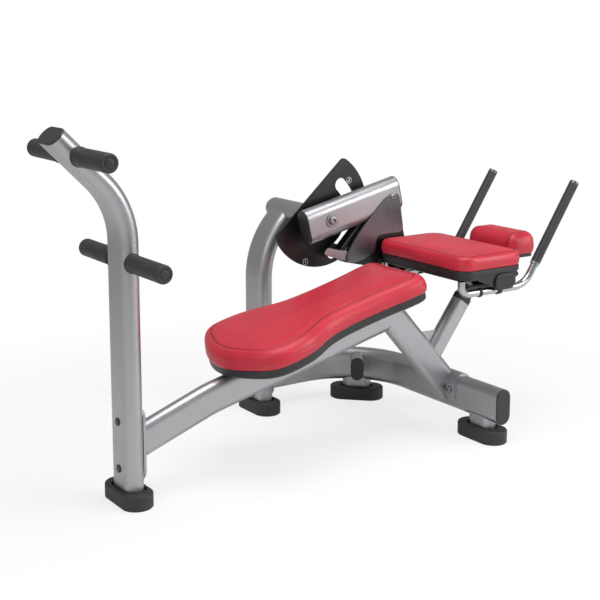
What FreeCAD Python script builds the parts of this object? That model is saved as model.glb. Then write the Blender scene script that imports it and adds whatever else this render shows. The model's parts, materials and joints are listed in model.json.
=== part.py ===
"""Decline sit up bench: a fixed tube frame with a contoured seat, and a pivoting
back rest with handles. Millimetres. X runs from the foot end to the head end, +Y
to the side with the mast, Z up. The origin is on the floor under the front post."""
import FreeCAD, Part
import math
import os
from FreeCAD import Vector

# Frame tubes: obround steel tube, in two sizes
BIG_LONG = 120.0
BIG_SHORT = 60.0
RAIL_LONG = 100.0
RAIL_SHORT = 50.0
WALL = 3.5
CAP_THICK = 5.0
PLATE = 8.0

# Side of the blocks that trim tubes, larger than any of their sections
CUTTER = 1000.0

# Clearances between bodies, and the running fit of the pivot
BODY_GAP = 0.35
RUNNING_GAP = 0.05

# Rubber feet
FOOT_LENGTH = 196.0
FOOT_WIDTH = 96.0
FOOT_HEIGHT = 46.0
FOOT_FLOOR = 16.0
FOOT_RECESS = 8.0
FOOT_RECESS_DEPTH = 9.0

# Front post, leaning back at its top
POST_CORNER_Z = 868.0
POST_LEAN = 45.0
POST_BEND = 250.0
POST_TOP_LENGTH = 287.0

# Foot pegs
PEG_BAR_R = 16.0
PEG_GRIP_R = 25.0
PEG_REACH = 200.0
PEG_LOW_Z = 712.0
PEG_HIGH_ALONG = 212.0

# Main rail, from the post to the seat and on under it
RAIL_Z = 175.0
RAIL_RISE = 20.0
RAIL_BEND = 400.0
FLANGE_HEIGHT = 230.0
FLANGE_WIDTH = 84.0
FLANGE_BOLT_PITCH = 140.0
BOLT_R = 6.0
BOLT_HEAD_R = 10.0
BOLT_HEAD = 7.0

# Seat
SEAT_TILT = 13.8
SEAT_REAR_X = 1014.9280
SEAT_REAR_Z = 500.1294
SEAT_LENGTH = 730.0
SEAT_FRONT_HALF = 205.0
SEAT_WAIST_HALF = 138.0
SEAT_REAR_HALF = 150.0
SEAT_CORNER = 38.0
SEAT_SHELL = 28.0
SEAT_CUSHION = 64.0
SEAT_ROLL = 24.0
SEAT_PLATE = 6.0
SEAT_PLATE_WIDTH = 120.0

# Base beam, an L in plan
BEAM_X = 1224.0
BEAM_Z = 130.0
BEAM_NEAR_Y = -262.0
BEAM_BEND = 260.0
LEG_LONG = 104.0
LEG_SHORT = 50.0
NEAR_LEG_Y = -167.0
STUB_LONG = 84.0
STUB_SHORT = 46.0
STUB_REACH = 112.0
STUB_ANGLE = 234.0
STUB_RISE = 8.0

# Mast on the far side, with the pivot at its top
MAST_X = 769.0
MAST_Y = 507.0
MAST_LEAN = 42.0
MAST_BEND = 290.0
PIVOT_X = 880.0
PIVOT_Z = 716.0
HOUSING_R = 37.0
HOUSING_BORE_R = 26.0
SHAFT_R = 17.5
BUSH_LENGTH = 34.0
BUSH_FLANGE = 3.0

# Diagonal under the seat's rear, with the rest post on it
DIAGONAL_ANGLE = 131.5
SADDLE_LENGTH = 132.0
SADDLE_THICK = 7.0
SADDLE_BOLT_PITCH = 84.0
SADDLE_BELOW = 18.0
SADDLE_BOLT_RISE = 12.0
REST_X = 1264.0
REST_Z = 430.0
REST_LONG = 70.0
REST_SHORT = 44.0
BUMPER = 24.0
GUSSET = 6.0
GUSSET_REACH = 95.0

# Sector plate on the pivot housing
SECTOR_R = 199.0
SECTOR_SHIFT_X = 8.0
SECTOR_SHIFT_Z = 26.0
SECTOR_CHORD = 62.0
SECTOR_CHORD_ANGLE = 132.0
SECTOR_THICK = 8.0
SLOT_R = 142.0
SLOT_WIDTH = 48.0
SLOT_FROM = -64.0
SLOT_TO = 47.0

# Moving arm, strut and stop bar
ARM_TO_HOUSING = 22.0
ARM_PITCH = 13.3
ARM_FRONT = 92.0
ARM_REAR = 298.0
ARM_BOLT = 262.0
STRUT_THICK = 40.0
STRUT_WALL = 6.0
STOP_ANGLE = -58.0
STOP_R = 16.0
STOP_SLEEVE_R = 20.0
STOP_TO_MAST = 19.0
PAD_TO_STRUT = 4.0

# Back rest and head rest
PAD_FRONT_X = 1074.0
PAD_REAR_X = 1342.0
PAD_HALF = 224.0
PAD_TOP_Z = 632.0
PAD_CUSHION = 62.0
PAD_BOARD = 16.0
PAD_CORNER = 46.0
PAD_ROLL = 22.0
CHEEK_THICK = 8.0
SHELL_INSET = 4.0
CHEEK_DROP = 40.0
CHEEK_FRONT = 92.0
CHEEK_REAR = 74.0
CHEEK_END_R = 6.0
BOSS_X = 1239.0
BOSS_R = 26.0
CROSS_X = 1190.0
CROSS_LONG = 64.0
CROSS_SHORT = 28.0
SPINE_LONG = 50.0
RING_X = 1140.0
BOSS_THICK = 7.0
HEAD_X = 1462.0
HEAD_LENGTH = 132.0
HEAD_HALF = 148.0
HEAD_BOTTOM_Z = 580.0
HEAD_THICK = 64.0
HEAD_BOARD = 10.0
HEAD_POST = 60.0
HEAD_POST_WIDTH = 30.0
HEAD_PLATE = 90.0
HEAD_PLATE_WIDTH = 160.0

# Handle bars
BAR_R = 12.5
CLAMP_WIDTH = 28.0
BAR_Z = 510.0
BAR_FRONT_X = 1090.0
BAR_CORNER_X = 1368.0
BAR_BEND = 84.0
BAR_FRONT_BEND = 30.0
GRIP_ANGLE = 56.0
GRIP_START = 86.0
GRIP_END = 397.0
GRIP_R = 16.0
COLLAR = 9.0

# Places across the bench that follow from the pads' width
BAR_Y = PAD_HALF - SHELL_INSET - CHEEK_THICK - CLAMP_WIDTH / 2
ARM_Y = PAD_HALF + PAD_TO_STRUT + STRUT_THICK / 2
HOUSING_NEAR_Y = ARM_Y + BIG_SHORT / 2 + ARM_TO_HOUSING
STOP_END_Y = MAST_Y - BIG_LONG / 2 - STOP_TO_MAST

X_AXIS = Vector(1, 0, 0)
Y_AXIS = Vector(0, 1, 0)
Z_AXIS = Vector(0, 0, 1)


def heading(angle):
    """Unit vector in the XZ plane, angle in degrees up from +X."""
    return Vector(math.cos(math.radians(angle)), 0, math.sin(math.radians(angle)))


def obround(centre, normal, long_way, long, short):
    """Closed obround outline round centre, in the plane across normal."""
    normal = Vector(normal).normalize()
    side = Vector(long_way).normalize()
    across = normal.cross(side)
    straight = (long - short) / 2
    r = short / 2
    a = centre + side * straight
    b = centre - side * straight
    edges = [
        Part.LineSegment(b - across * r, a - across * r).toShape(),
        Part.Arc(a - across * r, a + side * r, a + across * r).toShape(),
        Part.LineSegment(a + across * r, b + across * r).toShape(),
        Part.Arc(b + across * r, b - side * r, b - across * r).toShape(),
    ]
    return Part.Wire(edges)


def bar(centre, direction, long_way, long, short, length):
    """Solid obround bar that starts at centre and runs along direction."""
    direction = Vector(direction).normalize()
    return Part.Face(obround(centre, direction, long_way, long, short)).extrude(direction * length)


def rod(start, direction, radius, length):
    return Part.makeCylinder(radius, length, start, direction)


def bent_path(points, radii):
    """Straight runs through points, joined by tangent arcs of the given radii."""
    edges = []
    start = points[0]
    for corner, after, radius in zip(points[1:-1], points[2:], radii):
        into = (corner - start).normalize()
        out = (after - corner).normalize()
        half_turn = into.getAngle(out) / 2
        reach = radius * math.tan(half_turn)
        a = corner - into * reach
        b = corner + out * reach
        inward = (out - into).normalize()
        middle = corner + inward * (radius / math.cos(half_turn) - radius)
        edges.append(Part.LineSegment(start, a).toShape())
        edges.append(Part.Arc(a, middle, b).toShape())
        start = b
    edges.append(Part.LineSegment(start, points[-1]).toShape())
    return Part.Wire(edges)


def swept(points, radii, long_way, long, short):
    """Obround section carried along a bent path, as a solid."""
    section = obround(points[0], points[1] - points[0], long_way, long, short)
    return bent_path(points, radii).makePipeShell([section], True, False)


def tube(points, radii, long_way, long, short, wall):
    outer = swept(points, radii, long_way, long, short)
    inner = swept(points, radii, long_way, long - 2 * wall, short - 2 * wall)
    return outer.cut(inner)


def round_tube(points, radii, radius, wall):
    path = bent_path(points, radii)
    along = (points[1] - points[0]).normalize()
    shells = []
    for r in (radius, radius - wall):
        ring = Part.Wire([Part.Circle(points[0], along, r).toShape()])
        shells.append(path.makePipeShell([ring], True, False))
    return shells[0].cut(shells[1])


def end_cap(centre, direction, long_way, long, short, wall):
    """Plastic cap: a rounded plate on the tube's end, with a plug inside it."""
    direction = Vector(direction).normalize()
    plate = bar(centre, direction, long_way, long, short, CAP_THICK)
    rim = [e for e in plate.Edges if is_on(e, centre + direction * CAP_THICK, direction)]
    plate = plate.makeFillet(CAP_THICK * 0.7, rim)
    plug_long = long - 2 * wall
    plug_short = short - 2 * wall
    return plate.fuse(bar(centre - direction * 16, direction, long_way, plug_long, plug_short, 16))


def is_on(edge, point, normal):
    """True where every end of the edge lies in the plane through point."""
    return all(abs((v.Point - point).dot(normal)) < 1e-3 for v in edge.Vertexes)


def hull_outline(circles, y):
    """Belt round circles given as (x, z, r) anticlockwise, in the plane at y."""
    spans = []
    count = len(circles)
    for i in range(count):
        x0, z0, r0 = circles[i]
        x1, z1, r1 = circles[(i + 1) % count]
        along = math.atan2(z1 - z0, x1 - x0)
        out = along - math.acos((r0 - r1) / math.hypot(x1 - x0, z1 - z0))
        a = Vector(x0 + r0 * math.cos(out), y, z0 + r0 * math.sin(out))
        b = Vector(x1 + r1 * math.cos(out), y, z1 + r1 * math.sin(out))
        spans.append((a, b, out))
    edges = []
    for i in range(count):
        a, b, out = spans[i]
        after, _, next_out = spans[(i + 1) % count]
        turn = (next_out - out) % (2 * math.pi)
        x, z, r = circles[(i + 1) % count]
        middle = Vector(x + r * math.cos(out + turn / 2), y, z + r * math.sin(out + turn / 2))
        edges.append(Part.LineSegment(a, b).toShape())
        edges.append(Part.Arc(b, middle, after).toShape())
    return Part.Wire(edges)


def plate_from(wire, thick):
    """Plate of an XZ outline, thick along +Y."""
    return Part.Face(wire).extrude(Vector(0, thick, 0))


def hex_bolt(seat, direction, shank):
    """Button head standing on seat, with its shank going the other way."""
    direction = Vector(direction).normalize()
    washer = rod(seat, direction, BOLT_HEAD_R + 3, 2)
    head = rod(seat + direction * 2, direction, BOLT_HEAD_R, BOLT_HEAD)
    head = head.makeFillet(3, [e for e in head.Edges if is_on(e, seat + direction * (2 + BOLT_HEAD), direction)])
    socket = rod(seat + direction * (2 + BOLT_HEAD * 0.4), direction, BOLT_HEAD_R * 0.45, BOLT_HEAD)
    return washer.fuse(head).cut(socket).fuse(rod(seat - direction * shank, direction, BOLT_R, shank))


def bolt_hole(seat, direction, depth):
    direction = Vector(direction).normalize()
    return rod(seat - direction * depth, direction, BOLT_R, depth + 1)


def save(name, shape):
    shape = shape.removeSplitter()
    if not shape.isValid() or shape.Volume <= 0:
        print("check", name, shape.isValid(), shape.Volume)
    shape.exportStep("parts/" + name + ".step")
    print(name, len(shape.Solids), round(shape.Volume))


# ---- Front post, its foot and pegs ----

POST_UP = heading(90 + POST_LEAN)
POST_BASE = Vector(0, 0, FOOT_FLOOR)
POST_CORNER = Vector(0, 0, POST_CORNER_Z)
POST_TOP = POST_CORNER + POST_UP * POST_TOP_LENGTH
PEG_LOW = Vector(0, 0, PEG_LOW_Z)
PEG_HIGH = POST_CORNER + POST_UP * PEG_HIGH_ALONG
RAIL_BOLTS_Z = (RAIL_Z - FLANGE_BOLT_PITCH / 2, RAIL_Z + FLANGE_BOLT_PITCH / 2)
POST_FACE_X = BIG_SHORT / 2


def front_post():
    post = tube([POST_BASE, POST_CORNER, POST_TOP], [POST_BEND], Y_AXIS, BIG_LONG, BIG_SHORT, WALL)
    for centre in (PEG_LOW, PEG_HIGH):
        post = post.cut(rod(centre - Y_AXIS * BIG_LONG, Y_AXIS, PEG_BAR_R, 2 * BIG_LONG))
    for z in RAIL_BOLTS_Z:
        post = post.cut(rod(Vector(-BIG_SHORT, 0, z), X_AXIS, BOLT_R, 2 * BIG_SHORT))
    return post


def foot(place, long_way, long, short):
    """Rubber foot with a pocket for the tube and a shallow recess round it."""
    body = bar(place, Z_AXIS, long_way, FOOT_LENGTH, FOOT_WIDTH, FOOT_HEIGHT)
    body = body.makeFillet(7, [e for e in body.Edges if is_on(e, place + Z_AXIS * FOOT_HEIGHT, Z_AXIS)])
    body = body.makeChamfer(3, [e for e in body.Edges if is_on(e, place, Z_AXIS)])
    pocket = bar(place + Z_AXIS * FOOT_FLOOR, Z_AXIS, long_way, long, short, FOOT_HEIGHT)
    recess_z = FOOT_HEIGHT - FOOT_RECESS_DEPTH
    recess = bar(place + Z_AXIS * recess_z, Z_AXIS, long_way,
                 long + 2 * FOOT_RECESS, short + 2 * FOOT_RECESS, FOOT_HEIGHT)
    return body.cut(pocket).cut(recess)


def peg_grips(centre):
    """Two rubber grips on the ends of a peg bar, rounded at the tip."""
    grips = []
    for side in (-1, 1):
        out = Y_AXIS * side
        start = centre + out * (BIG_LONG / 2)
        length = PEG_REACH - BIG_LONG / 2
        grip = rod(start, out, PEG_GRIP_R, length)
        tip = [e for e in grip.Edges if is_on(e, start + out * length, out)]
        grip = grip.makeFillet(9, tip)
        grips.append(grip.cut(rod(start, out, PEG_BAR_R, length - 8)))
    return Part.makeCompound(grips)


def peg_bar(centre):
    half = PEG_REACH - 8
    return rod(centre - Y_AXIS * half, Y_AXIS, PEG_BAR_R, 2 * half)


# ---- Seat geometry, used by the rail, the plate and the pads ----

SEAT_ALONG = heading(SEAT_TILT)
SEAT_UP = heading(SEAT_TILT + 90)
SEAT_TIP = Vector(SEAT_REAR_X, 0, SEAT_REAR_Z) - SEAT_ALONG * SEAT_LENGTH


def on_seat(along, up):
    """Point on the mid-plane, along the seat from its tip and up from its shell's underside."""
    return SEAT_TIP + SEAT_ALONG * along + SEAT_UP * up


RAIL_LINE = on_seat(0, -SEAT_PLATE - RAIL_LONG / 2)
RAIL_START = Vector(POST_FACE_X + PLATE, 0, RAIL_Z)
DIAGONAL_UP = heading(DIAGONAL_ANGLE)
SADDLE_TOP = Vector(BEAM_X, 0, BEAM_Z + BIG_LONG / 2 + SADDLE_THICK)


def meet(p, along_p, q, along_q):
    """Point where two lines in the XZ plane cross."""
    det = along_p.x * along_q.z - along_p.z * along_q.x
    gap = q - p
    t = (gap.x * along_q.z - gap.z * along_q.x) / det
    return p + along_p * t


RAIL_CORNER = meet(RAIL_START, heading(RAIL_RISE), RAIL_LINE, SEAT_ALONG)
DIAGONAL_FOOT = Vector(BEAM_X - 6, 0, BEAM_Z)
DIAGONAL_CROSS = meet(DIAGONAL_FOOT, DIAGONAL_UP, on_seat(0, -SEAT_PLATE), SEAT_ALONG)
RAIL_END = meet(DIAGONAL_FOOT, DIAGONAL_UP, RAIL_LINE, SEAT_ALONG)


def diagonal_solid(long, short):
    """The diagonal's full section, cut off by the seat plate's underside."""
    length = (DIAGONAL_CROSS - DIAGONAL_FOOT).Length + 2 * RAIL_LONG
    full = bar(DIAGONAL_FOOT, DIAGONAL_UP, Vector(DIAGONAL_UP).cross(Y_AXIS), long, short, length)
    above = on_seat(SEAT_LENGTH / 2, -SEAT_PLATE)
    block = Part.makeBox(2 * CUTTER, CUTTER, CUTTER, Vector(-CUTTER, -CUTTER / 2, 0))
    block.rotate(Vector(), Y_AXIS, -SEAT_TILT)
    block.translate(above)
    return full.cut(block)


def saddle_outline(extra):
    centre = Vector(BEAM_X, -SADDLE_LENGTH / 2, BEAM_Z)
    return bar(centre, Y_AXIS, Z_AXIS, BIG_LONG + 2 * extra, BIG_SHORT + 2 * extra, SADDLE_LENGTH)


def main_rail():
    points = [RAIL_START, RAIL_CORNER, RAIL_END]
    rail = tube(points, [RAIL_BEND], Y_AXIS.cross(heading(RAIL_RISE)), RAIL_LONG, RAIL_SHORT, WALL)
    upright = Part.makeBox(CUTTER, CUTTER, CUTTER, Vector(RAIL_START.x - CUTTER, -CUTTER / 2, -CUTTER / 4))
    return rail.cut(upright).cut(diagonal_solid(RAIL_LONG, RAIL_SHORT))


def rail_flange():
    flange = bar(Vector(POST_FACE_X, 0, RAIL_Z), X_AXIS, Z_AXIS, FLANGE_HEIGHT, FLANGE_WIDTH, PLATE)
    for z in RAIL_BOLTS_Z:
        flange = flange.cut(rod(Vector(POST_FACE_X - 1, 0, z), X_AXIS, BOLT_R, PLATE + 2))
    return flange


def rail_bolts():
    bolts = []
    for z in RAIL_BOLTS_Z:
        bolts.append(hex_bolt(Vector(POST_FACE_X + PLATE, 0, z), X_AXIS, BIG_SHORT + PLATE))
    return Part.makeCompound(bolts)


def bolt_plugs():
    """Domed plugs over the bolts' far ends, on the post's foot side."""
    plugs = []
    for z in RAIL_BOLTS_Z:
        seat = Vector(-POST_FACE_X, 0, z)
        plug = rod(seat, -X_AXIS, BOLT_HEAD_R + 2, 3.5)
        plugs.append(plug.makeFillet(2, [e for e in plug.Edges if is_on(e, seat - X_AXIS * 3.5, X_AXIS)]))
    return Part.makeCompound(plugs)


# ---- Base beam, legs and mast ----

BEAM_FLANGE_X = MAST_X + BIG_SHORT / 2
BEAM_POINTS = [
    Vector(BEAM_X, BEAM_NEAR_Y, BEAM_Z),
    Vector(BEAM_X, MAST_Y, BEAM_Z),
    Vector(BEAM_FLANGE_X + PLATE, MAST_Y, BEAM_Z),
]
BEND_MIDDLE = Vector(BEAM_X - BEAM_BEND, MAST_Y - BEAM_BEND, 0)
CORNER_LEG = BEND_MIDDLE + Vector(1, 1, 0).normalize() * BEAM_BEND
CORNER_ALONG = Vector(-1, 1, 0)
NEAR_LEG = Vector(BEAM_X, NEAR_LEG_Y, 0)
STUB_OUT = Vector(math.cos(math.radians(STUB_ANGLE)), math.sin(math.radians(STUB_ANGLE)), 0)
STUB_BASE = CORNER_LEG + Z_AXIS * (BEAM_Z + STUB_RISE)
BEAM_BOLTS_Z = (BEAM_Z - BIG_LONG / 2 - 6, BEAM_Z + BIG_LONG / 2 + 14)
MAST_UP = heading(90 - MAST_LEAN)
PIVOT = Vector(PIVOT_X, 0, PIVOT_Z)
MAST_TOP = Vector(PIVOT_X, MAST_Y, PIVOT_Z)
MAST_CORNER_Z = PIVOT_Z - (PIVOT_X - MAST_X) / math.tan(math.radians(MAST_LEAN))


def beam_solid():
    return swept(BEAM_POINTS, [BEAM_BEND], Z_AXIS, BIG_LONG, BIG_SHORT)


def base_beam():
    beam = tube(BEAM_POINTS, [BEAM_BEND], Z_AXIS, BIG_LONG, BIG_SHORT, WALL)
    for y in saddle_bolt_places():
        beam = beam.cut(rod(Vector(BEAM_X - BIG_SHORT, y, BEAM_Z + SADDLE_BOLT_RISE), X_AXIS, BOLT_R, 2 * BIG_SHORT))
    return beam


def leg(place, long_way):
    """Short upright between a foot and the beam, coped to the beam's round underside."""
    outer = bar(place + Z_AXIS * FOOT_FLOOR, Z_AXIS, long_way, LEG_LONG, LEG_SHORT, BEAM_Z - FOOT_FLOOR)
    inner = bar(place + Z_AXIS * FOOT_FLOOR, Z_AXIS, long_way,
                LEG_LONG - 2 * WALL, LEG_SHORT - 2 * WALL, BEAM_Z - FOOT_FLOOR)
    return outer.cut(inner).cut(beam_solid())


def stub_tube():
    outer = bar(STUB_BASE, STUB_OUT, Z_AXIS, STUB_LONG, STUB_SHORT, STUB_REACH)
    inner = bar(STUB_BASE, STUB_OUT, Z_AXIS, STUB_LONG - 2 * WALL, STUB_SHORT - 2 * WALL, STUB_REACH)
    return outer.cut(inner).cut(beam_solid())


def mast():
    base = Vector(MAST_X, MAST_Y, FOOT_FLOOR)
    corner = Vector(MAST_X, MAST_Y, MAST_CORNER_Z)
    body = tube([base, corner, MAST_TOP], [MAST_BEND], Y_AXIS, BIG_LONG, BIG_SHORT, WALL)
    body = body.cut(rod(MAST_TOP - Y_AXIS * BIG_LONG, Y_AXIS, HOUSING_R, 2 * BIG_LONG))
    for z in BEAM_BOLTS_Z:
        body = body.cut(rod(Vector(MAST_X - BIG_SHORT, MAST_Y, z), X_AXIS, BOLT_R, 2 * BIG_SHORT))
    return body


def beam_flange():
    middle = (BEAM_BOLTS_Z[0] + BEAM_BOLTS_Z[1]) / 2
    height = BEAM_BOLTS_Z[1] - BEAM_BOLTS_Z[0] + 30
    flange = bar(Vector(BEAM_FLANGE_X, MAST_Y, middle), X_AXIS, Z_AXIS, height, FLANGE_WIDTH, PLATE)
    for z in BEAM_BOLTS_Z:
        flange = flange.cut(rod(Vector(BEAM_FLANGE_X - 1, MAST_Y, z), X_AXIS, BOLT_R, PLATE + 2))
    return flange


def beam_bolts():
    bolts = []
    for z in BEAM_BOLTS_Z:
        seat = Vector(MAST_X - BIG_SHORT / 2, MAST_Y, z)
        bolts.append(hex_bolt(seat, -X_AXIS, BIG_SHORT + PLATE))
    return Part.makeCompound(bolts)


# ---- Pivot ----

HOUSING_FAR_Y = MAST_Y + BIG_LONG / 2 + 4


def pivot_housing():
    start = Vector(PIVOT_X, HOUSING_NEAR_Y, PIVOT_Z)
    length = HOUSING_FAR_Y - HOUSING_NEAR_Y
    return rod(start, Y_AXIS, HOUSING_R, length).cut(rod(start, Y_AXIS, HOUSING_BORE_R, length))


def pivot_bushes():
    """Flanged bushes pressed into both ends of the housing."""
    bushes = []
    for y, way in ((HOUSING_NEAR_Y, Y_AXIS), (HOUSING_FAR_Y, -Y_AXIS)):
        end = Vector(PIVOT_X, y, PIVOT_Z)
        sleeve = rod(end, way, HOUSING_BORE_R, BUSH_LENGTH)
        flange = rod(end - way * BUSH_FLANGE, way, HOUSING_BORE_R + 5, BUSH_FLANGE)
        bore = rod(end - way * (BUSH_FLANGE + 1), way, SHAFT_R + RUNNING_GAP, BUSH_LENGTH + BUSH_FLANGE + 2)
        bushes.append(sleeve.fuse(flange).cut(bore))
    return Part.makeCompound(bushes)


ARM_NEAR_Y = ARM_Y - BIG_SHORT / 2
ARM_FAR_Y = ARM_Y + BIG_SHORT / 2
SHAFT_FAR_Y = HOUSING_FAR_Y + BUSH_FLANGE + 5


def pivot_shaft():
    """Shaft with a collar each side of the housing, fixed in the arm."""
    shaft = rod(Vector(PIVOT_X, ARM_NEAR_Y, PIVOT_Z), Y_AXIS, SHAFT_R, SHAFT_FAR_Y - ARM_NEAR_Y)
    collar_end = HOUSING_NEAR_Y - BUSH_FLANGE - BODY_GAP
    collar = rod(Vector(PIVOT_X, ARM_FAR_Y, PIVOT_Z), Y_AXIS, SHAFT_R + 8, collar_end - ARM_FAR_Y)
    far_start = HOUSING_FAR_Y + BUSH_FLANGE + BODY_GAP
    far = rod(Vector(PIVOT_X, far_start, PIVOT_Z), Y_AXIS, HOUSING_R - 4, 9)
    far = far.makeFillet(4, [e for e in far.Edges if is_on(e, Vector(0, far_start + 9, 0), Y_AXIS)])
    return shaft.fuse(collar).fuse(far)


def sector_plate():
    """Part disc with a straight upper edge, and an arc slot for the stop bar."""
    centre = Vector(PIVOT_X + SECTOR_SHIFT_X, SECTOR_Y, PIVOT_Z + SECTOR_SHIFT_Z)
    disc = rod(centre, Y_AXIS, SECTOR_R, SECTOR_THICK)
    cutter = Part.makeBox(2 * SECTOR_R, SECTOR_THICK + 2, 2 * SECTOR_R,
                          Vector(SECTOR_CHORD, -1, -SECTOR_R))
    cutter.rotate(Vector(), Y_AXIS, -SECTOR_CHORD_ANGLE)
    cutter.translate(centre)
    disc = disc.cut(cutter)
    corners = [e for e in disc.Edges if e.Length < SECTOR_THICK + 0.1 and len(e.Vertexes) == 2]
    corners = [e for e in corners if (e.Vertexes[0].Point - centre).Length > SECTOR_R * 0.9]
    disc = disc.makeFillet(16, corners)
    disc = disc.cut(slot_solid(SLOT_WIDTH))
    hole = rod(Vector(PIVOT_X, SECTOR_Y - 1, PIVOT_Z), Y_AXIS, HOUSING_R, SECTOR_THICK + 2)
    return disc.cut(hole)


SECTOR_Y = HOUSING_NEAR_Y + 2


def slot_solid(width):
    """Arc slot about the pivot, with round ends."""
    half = width / 2
    ends = []
    for angle in (SLOT_FROM, SLOT_TO):
        for r in (SLOT_R - half, SLOT_R + half):
            ends.append(PIVOT + heading(angle) * r)
    mid = (SLOT_FROM + SLOT_TO) / 2
    low_tip = PIVOT + heading(SLOT_FROM) * SLOT_R + heading(SLOT_FROM - 90) * half
    high_tip = PIVOT + heading(SLOT_TO) * SLOT_R + heading(SLOT_TO + 90) * half
    edges = [
        Part.Arc(ends[1], PIVOT + heading(mid) * (SLOT_R + half), ends[3]).toShape(),
        Part.Arc(ends[3], high_tip, ends[2]).toShape(),
        Part.Arc(ends[2], PIVOT + heading(mid) * (SLOT_R - half), ends[0]).toShape(),
        Part.Arc(ends[0], low_tip, ends[1]).toShape(),
    ]
    slot = Part.Face(Part.Wire(edges)).extrude(Vector(0, SECTOR_THICK + 4, 0))
    slot.translate(Vector(0, SECTOR_Y - 2, 0))
    return slot


# ---- Diagonal, saddle and rest post ----

RADIUS_TO_REST = Vector(REST_X - PIVOT_X, 0, REST_Z - PIVOT_Z)
REST_UP = Vector(-RADIUS_TO_REST.z, 0, RADIUS_TO_REST.x).normalize()
REST_TOP = Vector(REST_X, 0, REST_Z)
REST_FOOT = meet(REST_TOP, REST_UP, DIAGONAL_FOOT, DIAGONAL_UP)
LANDING = REST_TOP + REST_UP * (BUMPER + BODY_GAP)


def saddle_bolt_places():
    return (-SADDLE_BOLT_PITCH / 2, SADDLE_BOLT_PITCH / 2)


def diagonal():
    inner = diagonal_solid(RAIL_LONG - 2 * WALL, RAIL_SHORT - 2 * WALL)
    return diagonal_solid(RAIL_LONG, RAIL_SHORT).cut(inner).cut(saddle_outline(SADDLE_THICK))


def beam_saddle():
    """Strap bent over the beam, with its legs bolted through the sides."""
    strap = saddle_outline(SADDLE_THICK).cut(saddle_outline(0))
    below_z = BEAM_Z - SADDLE_BELOW - CUTTER
    below = Part.makeBox(CUTTER, CUTTER, CUTTER, Vector(BEAM_X - CUTTER / 2, -CUTTER / 2, below_z))
    strap = strap.cut(below)
    for y in saddle_bolt_places():
        strap = strap.cut(rod(Vector(BEAM_X - BIG_SHORT, y, BEAM_Z + SADDLE_BOLT_RISE), X_AXIS, BOLT_R, 2 * BIG_SHORT))
    return strap


def saddle_bolts():
    bolts = []
    for y in saddle_bolt_places():
        seat = Vector(BEAM_X - BIG_SHORT / 2 - SADDLE_THICK, y, BEAM_Z + SADDLE_BOLT_RISE)
        shank = BIG_SHORT + 2 * SADDLE_THICK
        nut = rod(seat + X_AXIS * shank, X_AXIS, BOLT_HEAD_R, BOLT_HEAD)
        bolts.append(hex_bolt(seat, -X_AXIS, shank).fuse(nut))
    return Part.makeCompound(bolts)


def rest_post():
    length = (REST_TOP - REST_FOOT).Length
    side = REST_UP.cross(Y_AXIS)
    outer = bar(REST_FOOT, REST_UP, side, REST_LONG, REST_SHORT, length)
    inner = bar(REST_FOOT, REST_UP, side, REST_LONG - 2 * WALL, REST_SHORT - 2 * WALL, length)
    return outer.cut(inner).cut(diagonal_solid(RAIL_LONG, RAIL_SHORT))


def rest_bumper():
    """Rubber buffer plugged into the rest post."""
    side = REST_UP.cross(Y_AXIS)
    top = bar(REST_TOP, REST_UP, side, REST_LONG, REST_SHORT, BUMPER)
    rim = [e for e in top.Edges if is_on(e, REST_TOP + REST_UP * BUMPER, REST_UP)]
    top = top.makeFillet(6, rim)
    plug = bar(REST_TOP - REST_UP * 20, REST_UP, side, REST_LONG - 2 * WALL, REST_SHORT - 2 * WALL, 20)
    return top.fuse(plug)


def rest_gusset():
    """Web plate in the corner between the diagonal and the rest post."""
    corner = REST_FOOT
    a = corner + DIAGONAL_UP * (GUSSET_REACH + RAIL_LONG / 2)
    b = corner + REST_UP * (GUSSET_REACH + REST_LONG / 2)
    outline = Part.makePolygon([corner - Y_AXIS * (GUSSET / 2), a - Y_AXIS * (GUSSET / 2),
                                b - Y_AXIS * (GUSSET / 2), corner - Y_AXIS * (GUSSET / 2)])
    plate = plate_from(outline, GUSSET)
    side = REST_UP.cross(Y_AXIS)
    post = bar(REST_FOOT, REST_UP, side, REST_LONG, REST_SHORT, (REST_TOP - REST_FOOT).Length)
    return plate.cut(diagonal_solid(RAIL_LONG, RAIL_SHORT)).cut(post)


# ---- Seat ----

def seat_outline(inset):
    """Wide round front, a waist and a squared rear, in the seat's own plane."""
    front = SEAT_FRONT_HALF - inset
    waist = SEAT_WAIST_HALF - inset
    rear = SEAT_REAR_HALF - inset
    end = SEAT_LENGTH - inset
    side = []
    for along, half in ((inset, 0), (SEAT_LENGTH * 0.055, front * 0.62), (SEAT_LENGTH * 0.2, front),
                        (SEAT_LENGTH * 0.62, waist), (end - SEAT_CORNER, rear)):
        side.append(Vector(along, half, 0))
    right = Part.BSplineCurve()
    right.interpolate(side, Tangents=[Vector(0, 1, 0), Vector(1, 2, 0), Vector(1, 0, 0), Vector(1, 0, 0),
                                      Vector(1, 0, 0)],
                      TangentFlags=[True, False, True, True, True])
    diagonal_point = SEAT_CORNER * (1 - math.sqrt(0.5))
    corner = Part.Arc(side[-1], Vector(end - diagonal_point, rear - diagonal_point, 0),
                      Vector(end, rear - SEAT_CORNER, 0))
    half_edges = [right.toShape(), corner.toShape()]
    back = Part.LineSegment(Vector(end, rear - SEAT_CORNER, 0), Vector(end, SEAT_CORNER - rear, 0)).toShape()
    mirrored = [e.mirror(Vector(), Y_AXIS) for e in half_edges]
    return Part.Wire(Part.__sortEdges__(half_edges + [back] + mirrored))


def place_on_seat(shape, up):
    shape.rotate(Vector(), Y_AXIS, -SEAT_TILT)
    shape.translate(on_seat(0, up))
    return shape


def seat_shell():
    shell = Part.Face(seat_outline(5)).extrude(Vector(0, 0, SEAT_SHELL))
    low = [e for e in shell.Edges if is_on(e, Vector(), Z_AXIS)]
    return place_on_seat(shell.makeFillet(9, low), 0)


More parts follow.
